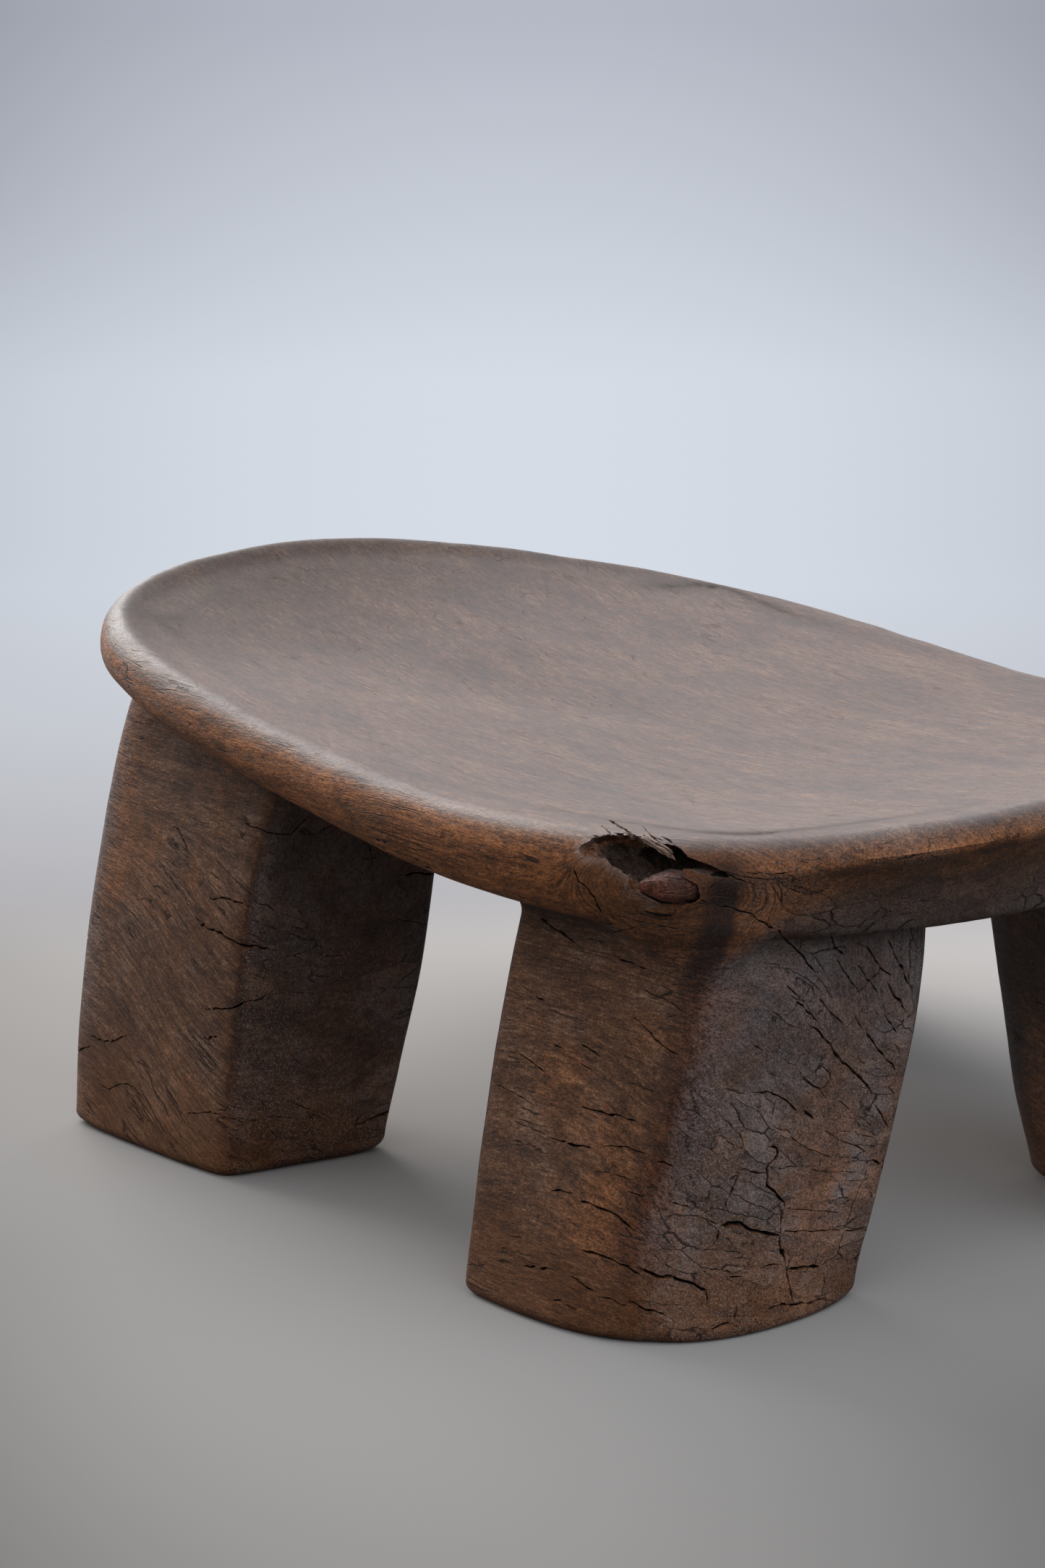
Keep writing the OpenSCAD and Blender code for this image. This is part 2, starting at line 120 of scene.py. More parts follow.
# The cracks of the front leg and the rim, seen from the front: a size, then X and Z of each
# turn in millimetres. The first one runs on from the leg into the rim.
LEG_CRACKS = """
3 -6.2,112.9 -2.7,112.6 0.9,111.4 4.1,110.4 6.2,108.6 8,107.4 9.9,105.5 11.3,105 12.4,102.8 13.8,100.6 15.5,98.9 17.8,96.3 20,93 21.6,91.3 22.4,91
1 22.2,90.8 23.1,91.4
1 21.6,90.4 22.6,89.1 24,87.3 25.2,85.1 26.2,83.4
1 22.2,88.9 21.3,88 19.8,87 19.1,85.8 18.5,84.8
2 13.7,89.6 15.4,87.7 16.6,86.1 17.7,84.9
3 16.8,84.6 18.4,82.9 19.9,81.1 21.3,79.3 22.7,77.9
1 16.8,84 15.9,82.5 14.2,81.3 13.5,80.9
1 10.4,82.9 11.9,81.9 13.5,80.3 15,78.9 16.9,77.2
4 20.2,77.3 21.9,76.2 23.7,73.7 25.8,71.7 27.1,69.2 28.8,66.9 30.4,65.1 32.4,62.7 34.3,60.8 35.7,58.9 36.9,57 37.7,55.3
1 23.7,73.7 23.1,72.5 21.8,71.9 21.8,71.1
3 23.2,104.1 24.9,101 26.5,96.6 27.7,95.5 29.1,93.8
1 26.7,96 26.4,94.3 25.6,93.3
2 27.3,93.2 28.4,91.1 30,88.5 31.4,86.1 33,84.1 33.6,83
1 33.6,83 33.4,81.5 33.8,80.3 33.3,79.5
2 33.2,83.8 34.9,84.4 35.9,85.9 37.2,86.7 38.6,87.4 38.8,88.9
3 35.1,95.1 36.3,93.1 37.5,90.8 39,88.8 40.4,87.4 42,85.9
2 32.4,91.7 33.6,89.8 34.9,87.8 36.1,85.8 37.5,83.8 38.7,81.9
3 40.8,95.6 42.1,92.9 43.1,90.6 44.3,88.4 45.6,85.9 46.2,83.5 47.1,82
4 41,84.4 42.3,82.1 43.7,79.7 45.2,77.5 46.2,75.9
2 37.4,78.8 38.2,77.3 38.8,76.2
3 40.2,76.5 41.6,74.3 42.9,72.1 43.7,70.5
3 31.9,78.4 32.7,76.7 33.8,74.6 34.8,72.9
3 35.4,72.9 36.6,70.8 38.2,68.1 40.1,65.6 41.3,64 42.9,62.4 43.8,60
1 32.5,77 31.6,76 30.4,75.3 29.5,75.2
2 22.7,84.1 24.3,81.7 26.3,79.2 28.1,77.2 29.4,75.5
1 26.8,105.6 26.9,104.1 27.8,102.3 29.1,98.5
1 31.8,105.2 32.9,103.7 34.3,102.2 36,97.3
1 32.1,96.6 33.7,95.6 35.1,94.7
2 44.2,103.7 47.2,96.6 48,94.2 48.7,92.6
1 38.8,97.1 39.6,95.4
2 43.2,67.7 44.5,65.7 45.1,64.4
1 5.3,75.5 7.2,73.9 9.1,72.3 10.2,71.4
1 13.3,70.4 15.2,68.9 16.9,67.6
1 16.8,72 18.2,70.9 19.5,70.1
1 9.2,67.8 11.1,66.5 13,65.4
2 23.1,66.7 24.6,65.2 25.8,63.8 26,62.2 24.7,60.4 23.2,60.2
1 18.3,65.4 19.7,63.6 21,62
1 33.5,66.7 34.5,65.1 35.4,64
1 17.1,105.7 18.1,103.4 19.4,101.1 21.1,97.7
2 -1.9,65.2 -0,64.4 2.2,63.1 3.7,62.9
3 5.5,62.8 7.4,62.6 9.6,62.2 11.2,61.2 13.1,60 14.4,59 15.8,57.6 16.7,56.4 17.7,55.4
4 18.5,56.2 19.8,54.8 21,53.5 22.2,52.3
1 18.8,56.1 19.4,56.4 19.6,57.3
1 22.2,52.1 21.8,51 21.1,50.1
2 11.9,60.1 11.2,58.5 10.7,56.1
1 10.9,53.2 12.4,52.1 13.6,51.3 14.7,51.3 15.5,50.3 16.1,48.9 17.1,47.7 18.7,46.4 20.6,44.9 22.6,43.7 24.9,42.2 26.9,41.1
1 13.2,51 13.1,49.1 12.7,47.5
4 9.9,47.7 11,47.8 12.2,46.8 12.4,45.4 11.7,44.2 10.5,43.1 9.8,41.9 10,40.3 9.9,38.6 9.7,37.3 11.2,36 12.6,34.1 13.6,32.7 14.4,32 14.4,30.6
3 14.4,30.4 13.8,28.6 13.5,26.8 13.7,24.8 13.5,23.7
3 2.3,43 4,42.9 5.8,42.1 7.7,41.2 9.6,40.8
3 2.5,42.6 1.8,40.8 1,39 0.1,36.9 -0.6,35.1 -0.9,33.7
1 14.6,30.4 15.9,29.9 17.5,29.5 20.4,28.6 23.3,27.5 25.3,27 27.2,26.1 29.2,25.2
2 -7.9,32.5 -6.1,31.5 -4.2,30.6 -2.9,29.7
5 -2.2,29.3 -0.9,29.5 1.4,29.1 3.2,28.3 4.8,27 6.1,26.2 8,25.4 9.9,24.6 11.8,23.9 13.3,23.4
2 3.4,28.3 3.8,29.1 4,30.1
2 4.9,29.7 4.9,31 5.1,31.7
3 -2.4,29.2 -2.5,27.7 -3.1,26.1 -3.8,24.7 -4.3,23.9
5 13.5,23.2 13.4,21.5 14,19.7 14.2,18.3 14.8,17.1 15,15.7
2 13.9,23.6 14.9,24 16.2,23.7 18.5,23.1 21.5,22.5 24.4,22 27.4,21.2 29.7,20.5
3 31,20.1 33.4,19.2 35.5,18.9 37.4,18.6
3 30.8,19.9 30.2,18.1 29.6,16.7 29.5,14.8
2 31,20.3 31.7,22.5 32.6,24.8 33.2,27.2 34.1,28.9 35,31.1 36.2,33.5 37.3,36
5 37.9,37.6 39.1,36.7 40.4,35.4
3 32.7,43.1 34,41.9 35.4,40.7 36.8,39.7
1 24.8,48.8 26.8,47 28.8,45.3 30.7,44.2 32.7,42.9
3 38.2,52.6 39.5,50.7 40.5,48.5 41.6,46.6 42.3,45.4
2 28.5,56.1 29.9,54.6 31.1,53.1 32.5,51.6
1 32.9,51.2 34.5,50 36.6,48.1 37.6,46.7
2 17.5,66.4 18.9,64.2 20.6,62.2 22,61 23.2,60.2 24.2,58.6 25,57.3
2 42.1,56.5 43,55.1 43.8,53.7
1 21.1,40.2 21.9,39 22.9,38.2 26,37.2 29.9,36.4 33.9,35.3
5 -22.8,20 -21.1,19.2 -19.6,18.5 -17.8,17.6 -16.5,17.4 -14.6,17.3 -12.4,16.6 -10.5,16 -8.7,15.1 -7.4,14 -6.3,13.3 -5.6,13.2
3 -5.6,13 -5.4,11.2 -5.6,9.8
3 -25.3,11 -23.9,10.9 -22.4,10.1 -20.8,9.4 -18.7,8.9 -16.9,8.4 -16,8
3 -5,18.1 -3.6,18.2 -1.9,17.9
3 -0.6,17.5 0.3,16.6 0.5,15.8 2,15.4 3.4,15.1
1 3.5,14.7 3.7,13.4 3.5,12.5
3 8.4,16.2 10,16.4 11.9,16.1 14,15.6
3 15,15.5 15.4,12.8 15.9,10.9 16.5,8.9 16.7,7.1 16.7,5.7
5 15.2,14.2 16.7,14 18.7,13.6 20.6,13.1 22.6,12.9 24.2,12.4
2 24.4,12.4 25.3,12.6 26.5,13.2 27.9,13.5 29.5,14 29.5,15.2
3 9.6,5.5 11.9,5.7 13.8,5.9 16.3,5.3 19.6,4.5 22.6,3.9 25,3.8 26.2,3.6
3 -7.4,2 -5.9,3.2 -4.1,3.8 -2.2,4.3 -0.4,4.5 1.5,4
2 2.4,9.1 2.2,7 1.5,5.4 1.1,4.1
1 1.1,20.5 3.3,19.9 5.2,19.3
3 -28,95.1 -27.1,94.3 -25.4,94.2 -23.6,94 -22.2,93.8 -21,93.5
2 -22.6,88.8 -21.1,88.2 -19.7,87.4 -18,87.1 -16.2,86.7 -14.5,86.1 -13.3,85.2 -12.2,84.1
3 -24.1,81.1 -22.7,80.2 -21,78.9 -19.6,77.8 -18.5,76.7 -17.3,75.6 -15.9,74.8 -14.5,74 -12.7,73.3
1 -28.6,79.5 -27.3,78.7 -25.9,78.2
3 -44.7,70.1 -43.3,69.8 -41.8,69.4 -40.4,68.9
3 -53.5,65.9 -51.7,65.1 -49.3,64.3 -47.4,63.6 -46,62.7
3 -37.5,71.8 -35.3,71.3 -33.5,70.7 -32.1,69.8
1 -30.3,71.6 -28.9,71.1
2 -38.4,67.4 -36.6,67 -35.1,66.6 -33.9,65.9
2 -25.4,64.8 -23.3,64.9 -21.5,64.3 -19.7,64.2 -18.3,64.3
3 -36.9,56.6 -35.7,56.4 -33.9,56.5 -31.8,56.7 -30,56.5 -28.6,56.5 -27.3,56.6 -25.4,56.1 -23.3,56
2 -51.7,82.3 -49.3,81.3 -47.4,80.4 -45.2,79.8
1 -58.9,56.9 -56.7,55.9 -53.9,55.6 -50.2,54.5 -48.4,53.6
4 -46.9,99.8 -44.7,98.5 -42,97.7 -40.5,96.7 -37.5,95.6
1 -21.6,99.9 -19.9,99 -18.1,97.7
3 -44.3,46.9 -42,46.8 -39.8,47.1 -37.9,46.8 -36.4,47.3 -35.3,47.4 -34.3,47.2
2 -32.5,48.7 -31.2,48.4 -29.5,49.1 -27.7,49.2 -25.4,49.4 -24.2,49 -22.4,48.7 -20.6,48.2
3 -19.4,46.6 -17.6,46.9 -16.2,47 -15.1,46.3 -14,45.8
1 -34.3,41.8 -32.9,42 -28.6,42.5 -26.5,42 -24.1,41.4 -22.4,41.1
1 -40.7,39.9 -38.4,40.2
3 -44.2,34.4 -42,34.9 -40.2,35 -38.4,35.3
2 -25.7,39 -24.1,38.5 -22.4,37.9 -20.9,37.5
4 -37,33.8 -34.8,33.8 -33,33.3 -30.7,32.9 -28.9,32.6 -27.5,32.1 -26.4,30.9 -25,29.8 -23.2,28.9
1 -33.9,27.8 -32.1,27.3 -30.4,26.7
4 -36.8,22 -35.3,21.7 -33.9,21.7 -32.1,21.5 -30.3,21.2 -28.6,20.6 -27.1,20.1 -25.3,19.6 -23.6,18.7 -22.3,18.4
3 -51.7,13.3 -48.4,13.9 -45.6,14.6 -43.8,14.7 -42,14.5
4 -39.7,14.7 -37.9,14.1 -36.4,13.4 -35.2,12.8 -33.9,12.5
3 -32.5,11.2 -30.7,11.2 -28.5,10.8 -26.7,10.2 -25.5,10.2
2 -44.7,7.5 -42,7.8 -40.2,7.4 -38,6.4
1 -29.4,6.6 -27.1,6.1 -25.3,6
2 -55.7,19.8 -53.9,19.7 -51.7,20.2
3 -14.3,36.7 -12.5,35.7 -10.7,35.2 -9.2,34.7
1 -43.3,50.9 -43.4,49.1 -43.3,47.4
"""
RIM_CRACKS = """
4 -39.2,120 -38.3,117.9 -37.6,116.4 -35.3,114.6 -33.9,112.2 -32.8,110 -32,108.1
3 -30,127.7 -28.6,127.8 -27.4,128 -26.3,128.2 -25.4,128.1 -23.9,127.3
2 -31.2,100.5 -29.5,101.2 -27.8,102.6 -25.3,104.4 -23.6,105.7
4 -8,114.2 -6.9,113.5 -5.6,112.9
2 -6.9,116.7 -4.4,118.6 -1.2,119.9
1 -6.8,116 -3.5,117.1 -0.1,117.5
1 -6.6,115.2 -3.4,115.2 -0.5,114.7
2 -11.6,123.1 -7.1,122.5 -2.6,121.2 2.7,118.8 6.3,117.5
1 -5.3,122.3 0.9,120.5 8.1,119.4 13,119.6
1 2,121.5 9,120.6 15,121.2
3 -9.4,113.4 -7.8,113.1 -6.2,112.9
2 -31.2,108.4 -24,107.5 -16.9,106.6 -12.5,106
1 -27.6,110 -19.6,108.6 -14.2,108.2
3 -53.3,110.3 -49,108.6 -46.4,107.3 -42,105.2 -38.2,102.5
"""
# The cracks in the top by the hollow, with X and Y of each turn.
TOP_CRACKS = """
5 -29.7,-151 -28.6,-156 -27.2,-162 -25.6,-167 -24.2,-171 -23.4,-173.6
2 -32.1,-160.3 -31.2,-164 -30.2,-168 -29.3,-171.8
1 -22,-158 -21.2,-164 -20.4,-169 -20,-172
"""

# Turns of the knot and its socket about X, Y and Z in degrees.
KNOT_TURNS = (0, 2, 6)

# Ways round the seat, from +X on anticlockwise: the rim's high side, the diagonal that its warp
# lifts, and its thick side.
TILT_WAY, WARP_WAY, THICK_WAY = (math.radians(way) for way in (169, 143, -10))
# How far in from the outline the rim's section starts on top, and ends below.
RIM_TOP, RIM_LOW = 22 * MM, 16 * MM
# Reach of the rounded lip and of the rounded lower edge in from the outline, and the lip's fall.
LIP_REACH, UNDER_REACH, LIP_FALL = 9 * MM, 13 * MM, 8.5 * MM


def a_number(name, default, description):
    return bpy.props.FloatProperty(name=name, description=description, default=default)


def a_length(name, default, description):
    return bpy.props.FloatProperty(
        name=name, description=description, default=default, subtype="DISTANCE", unit="LENGTH"
    )


def an_angle(name, degrees, description):
    return bpy.props.FloatProperty(
        name=name, description=description, default=math.radians(degrees), subtype="ANGLE"
    )


def a_place(name, default, description):
    return bpy.props.FloatVectorProperty(
        name=name,
        description=description,
        size=len(default),
        default=default,
        subtype="XYZ",
        unit="LENGTH",
    )


def a_color(name, color, description):
    return bpy.props.FloatVectorProperty(
        name=name, description=description, size=3, default=color, subtype="COLOR", min=0, max=1
    )


class SeatSettings(bpy.types.PropertyGroup):
    """Sizes of the dished seat"""

    across: a_length("Width", 0.315, "Width of the seat between opposite flat sides")
    squareness: a_number("Squareness", 3.2, "Squareness of the outline, where 2 is a circle")
    turn: an_angle("Turn", -3, "Turn of the outline about the vertical")
    middle: a_place("Middle", (0.0056, -0.0017), "Place of the seat's middle on the floor plan")
    rim_height: a_length("Rim height", 0.134, "Mean height of the rim's crest above the floor")
    tilt: a_length("Tilt", 0.018, "Rise of the crest on its high side")
    warp: a_length("Warp", 0.010, "Rise of the crest on one diagonal and fall on the other")
    edge: a_length("Rim thickness", 0.0245, "Mean thickness of the rim")
    edge_extra: a_length("Thick side", 0.0085, "Extra thickness of the rim on its right side")
    dish: a_length("Dish depth", 0.014, "Depth of the dish below the crest")
    thickness: a_length("Thickness", 0.029, "Thickness of the seat at its middle")


class KnotSettings(bpy.types.PropertyGroup):
    """The dead knot in the rim"""

    middle: a_place("Middle", (-0.0152, -0.1764, 0.1168), "Place of the knot's middle")
    size: a_place("Half size", (0.0081, 0.0047, 0.0039), "Half the knot's length, depth and height")


class WoodSettings(bpy.types.PropertyGroup):
    """Colours of the wood"""

    tone: a_color("Wood", (0.215, 0.092, 0.043), "Middle colour of the wood")
    dark: a_color("Dark grain", (0.044, 0.018, 0.010), "Colour of the darkest fibres")
    pale: a_color("Pale grain", (0.50, 0.29, 0.17), "Colour of the palest fibres")
    warm: a_color("Rim", (0.42, 0.147, 0.045), "Colour of the handled rim and of warm patches")
    grey: a_color("End grain", (0.20, 0.145, 0.127), "Colour of the weathered end grain")
    knot: a_color("Knot", (0.14, 0.045, 0.022), "Middle colour of the dead knot")
    knot_pale: a_color("Pale knot", (0.34, 0.16, 0.09), "Palest colour of the dead knot")
    knot_warm: a_color("Warm knot", (0.2, 0.05, 0.018), "Colour of the knot's warm patches")


class StageSettings(bpy.types.PropertyGroup):
    """Floor, backdrop, light and camera"""

    floor_color: a_color("Floor", (0.43, 0.415, 0.405), "Colour of the floor")
    wall_high: a_color("High wall", (0.46, 0.485, 0.56), "Colour of the backdrop high up")
    wall_mid: a_color("Middle wall", (0.67, 0.715, 0.79), "Colour of the backdrop's pale middle")
    wall_low: a_color("Low wall", (0.47, 0.46, 0.48), "Colour of the backdrop by the floor")
    air_color: a_color("Air", (0.61, 0.64, 0.71), "Colour seen past the floor's far edge")
    key_power: a_number("Lamp", 48.0, "Power of the lamp in watts")
    side_glow: a_number("Side light", 1.3, "Strength of the cool light from the right")
    camera_place: a_place("Camera", (-0.05157, -1.05394, 0.33927), "Place of the camera")
    camera_dip: an_angle("Camera dip", 12.65, "Angle of the camera below the horizontal")
    lens: a_number("Lens", 85.0, "Focal length in millimetres on a 36 mm long side")


def rows_of(values):
    return np.array(values, float)


def read_lines(text):
    return [line.split() for line in text.strip().splitlines()]


def read_turns(turns):
    return rows_of([turn.split(",") for turn in turns])


def smooth(t):
    t = np.clip(t, 0, 1)
    return t * t * (3 - 2 * t)


# Numbers of the random field: how far a seed shifts it and its corners' numbers, what scatters
# and stirs those, and what brings the field to about -1 to 1.
SEED_SHIFT, SEED_STEP = 17.31, 7919
PRIMES, STIR = (73856093, 19349663, 83492791), 1274126177
GAIN = 1.6


def wave(points, size, seed):
    """Smooth random field of about -1 to 1 over points in metres, with bumps of a size."""
    p = np.asarray(points) / size + seed * SEED_SHIFT
    i = np.floor(p).astype(np.int64)
    f = p - i
    u = f * f * f * (f * (f * 6 - 15) + 10)
    total = 0
    for corner in range(8):
        d = np.array([corner & 1, corner >> 1 & 1, corner >> 2])
        c = i + d
        h = c[..., 0] * PRIMES[0] ^ c[..., 1] * PRIMES[1] ^ c[..., 2] * PRIMES[2]
        h = h + seed * SEED_STEP
        h = (h ^ (h >> 13)) * STIR & 0xFFFFFFFF
        h = h ^ (h >> 16)
        a = (h & 0xFFFF) / 65536 * TAU
        b = ((h >> 16) & 0xFFFF) / 32768 - 1
        s = np.sqrt(np.maximum(0, 1 - b * b))
        g = f - d
        dot = s * np.cos(a) * g[..., 0] + s * np.sin(a) * g[..., 1] + b * g[..., 2]
        w = np.where(d, u, 1 - u).prod(-1)
        total = total + w * dot
    return total * GAIN


def soft_min(a, b, size):
    """Smaller of two distances, with a hollow blend over a size."""
    t = np.clip(0.5 + 0.5 * (b - a) / size, 0, 1)
    return b + (a - b) * t - size * t * (1 - t)


def right_side(way, start, reach):
    """Share of the rim's right side at each way. It grows over a reach from a start in degrees."""
    turned = (np.degrees(way) + 180) % 360 - 180
    return smooth((turned - start) / reach) * smooth((40 - turned) / 30)


# Places in millimetres in from the outline at which the underside is taken past the rim.
UNDERSIDE = (22, 30, 40, 55, 75, 100, 130)
# Points that are measured at a time.
BATCH = 20000


class Seat:
    """The seat's form: its outline, its tilted and warped rim, and its section at any way."""

    steps = 720

    def __init__(self, s):
        self.s = s
        self.middle = rows_of(s.middle)
        ways = np.arange(self.steps) / self.steps * TAU
        self.sections = self.section(ways)

    def outline(self, way):
        s = self.s
        a = way - s.turn - math.pi / 4
        k = s.squareness
        return s.across / 2 / (np.abs(np.cos(a)) ** k + np.abs(np.sin(a)) ** k) ** (1 / k)

    def plane(self, way, part):
        s = self.s
        return (
            s.rim_height
            + s.tilt * part * np.cos(way - TILT_WAY)
            + s.warp * part * part * np.cos(2 * (way - WARP_WAY))
        )

    def edge(self, way):
        return self.s.edge + self.s.edge_extra * np.cos(way - THICK_WAY)

    def dish(self, way, part):
        inner = 1 - LIP_REACH / self.outline(way)
        return self.plane(way, part) - self.s.dish * (1 - (part / inner) ** 2)

    def under(self, way, part):
        s = self.s
        r = self.outline(way)
        low = self.plane(way, 1) - self.edge(way)
        middle = s.rim_height - s.dish - s.thickness
        return middle + (low - middle) * (part / (1 - UNDER_REACH / r)) ** 2

    def section(self, way):
        """Section of the rim at each way: distance in from the outline, and height."""
        r = self.outline(way)
        top = self.plane(way, 1)
        thick = self.edge(way)
        facet = right_side(way, -93, 14)
        fall = LIP_FALL - 3.2 * MM * facet

        def at(inset, height):
            return np.stack([np.broadcast_to(inset, way.shape), height], -1)

        def dished(inset):
            return at(inset, self.dish(way, 1 - inset / r))

        def below(inset):
            return at(inset, self.under(way, 1 - inset / r))

        knots = [
            dished(30 * MM),
            dished(RIM_TOP),
            dished(14 * MM),
            at(7 * MM, top + 0.2 * MM),
            at(3 * MM, top - 1.5 * MM),
            at(0.8 * MM, top - 4.6 * MM),
            at(0, top - fall),
            at((0.1 + 0.8 * facet) * MM, top - fall - (1.2 + 0.5 * facet) * MM),
            at((1.2 + 4.2 * facet) * MM, top - fall - 0.42 * (thick - fall)),
            at((4.5 + 3.4 * facet) * MM, top - fall - 0.78 * (thick - fall)),
            at(9.5 * MM, top - thick + 0.6 * MM),
            below(RIM_LOW),
            below(24 * MM),
        ]
        knots = np.stack(knots, -2)
        rows = []
        for k in range(1, knots.shape[-2] - 2):
            a, b, c, d = (knots[..., k + j, :] for j in (-1, 0, 1, 2))
            for t in np.arange(8) / 8:
                rows.append(
                    0.5
                    * (
                        2 * b
                        + (c - a) * t
                        + (2 * a - 5 * b + 4 * c - d) * t * t
                        + (3 * b - a - 3 * c + d) * t**3
                    )
                )
        rows.append(knots[..., -2, :])
        line = np.stack(rows, -2)
        step = np.linalg.norm(np.diff(line, axis=-2), axis=-1)
        along = np.concatenate([np.zeros(step.shape[:-1] + (1,)), np.cumsum(step, -1)], -1)
        count = 48
        out = np.empty(line.shape[:-2] + (count, 2))
        for i in np.ndindex(line.shape[:-2]):
            s = np.linspace(0, along[i][-1], count)
            out[i] = np.stack([np.interp(s, along[i], line[i][:, j]) for j in (0, 1)], -1)
        return out

    def rim_point(self, way, part):
        """Point of the rim at each way, from 0 at its inner top to 1 at its inner underside."""
        w = (way / TAU * self.steps) % self.steps
        i = np.floor(w).astype(int)
        f = (w - i)[:, None]
        n = (i + 1) % self.steps
        x = part * (self.sections.shape[1] - 1)
        j = np.minimum(np.floor(x).astype(int), self.sections.shape[1] - 2)
        g = (x - j)[:, None]
        a = self.sections[i, j] * (1 - g) + self.sections[i, j + 1] * g
        b = self.sections[n, j] * (1 - g) + self.sections[n, j + 1] * g
        q = a * (1 - f) + b * f
        r = self.outline(way) - q[:, 0]
        return np.stack(
            [self.middle[0] + r * np.cos(way), self.middle[1] + r * np.sin(way), q[:, 1]], -1
        )

    def polar(self, points):
        """Each point's X and Y from the seat's middle, its way and its distance."""
        q = points[:, :2] - self.middle
        return q, np.arctan2(q[:, 1], q[:, 0]), np.linalg.norm(q, axis=1)

    def ceiling(self, points):
        """Height of the dish over each point."""
        _, way, out = self.polar(points)
        return self.dish(way, out / self.outline(way))

    def distance(self, points):
        """Distance from the rim and the underside, negative inside the wood."""
        out = np.empty(len(points))
        reach = rows_of(UNDERSIDE) * MM
        for k in range(0, len(points), BATCH):
            p = points[k : k + BATCH]
            _, way, far = self.polar(p)
            r = self.outline(way)
            w = (way / TAU * self.steps) % self.steps
            i = np.floor(w).astype(int) % self.steps
            f = (w - np.floor(w))[:, None, None]
            line = self.sections[i] * (1 - f) + self.sections[(i + 1) % self.steps] * f
            more = np.stack(
                [
                    np.broadcast_to(reach, (len(p), len(reach))),
                    self.under(way[:, None], 1 - reach / r[:, None]),
                ],
                -1,
            )
            line = np.concatenate([line, more], 1)
            at = np.stack([r - far, p[:, 2]], -1)[:, None, :]
            a, b = line[:, :-1], line[:, 1:]
            d = b - a
            t = np.clip(((at - a) * d).sum(-1) / (d * d).sum(-1), 0, 1)
            off = at - a - d * t[..., None]
            gap = np.hypot(off[..., 0], off[..., 1])
            j = gap.argmin(1)
            n = np.arange(len(p))
            cross = d[n, j, 0] * off[n, j, 1] - d[n, j, 1] * off[n, j, 0]
            out[k : k + BATCH] = np.where(cross > 0, -1, 1) * gap[n, j]
        return out


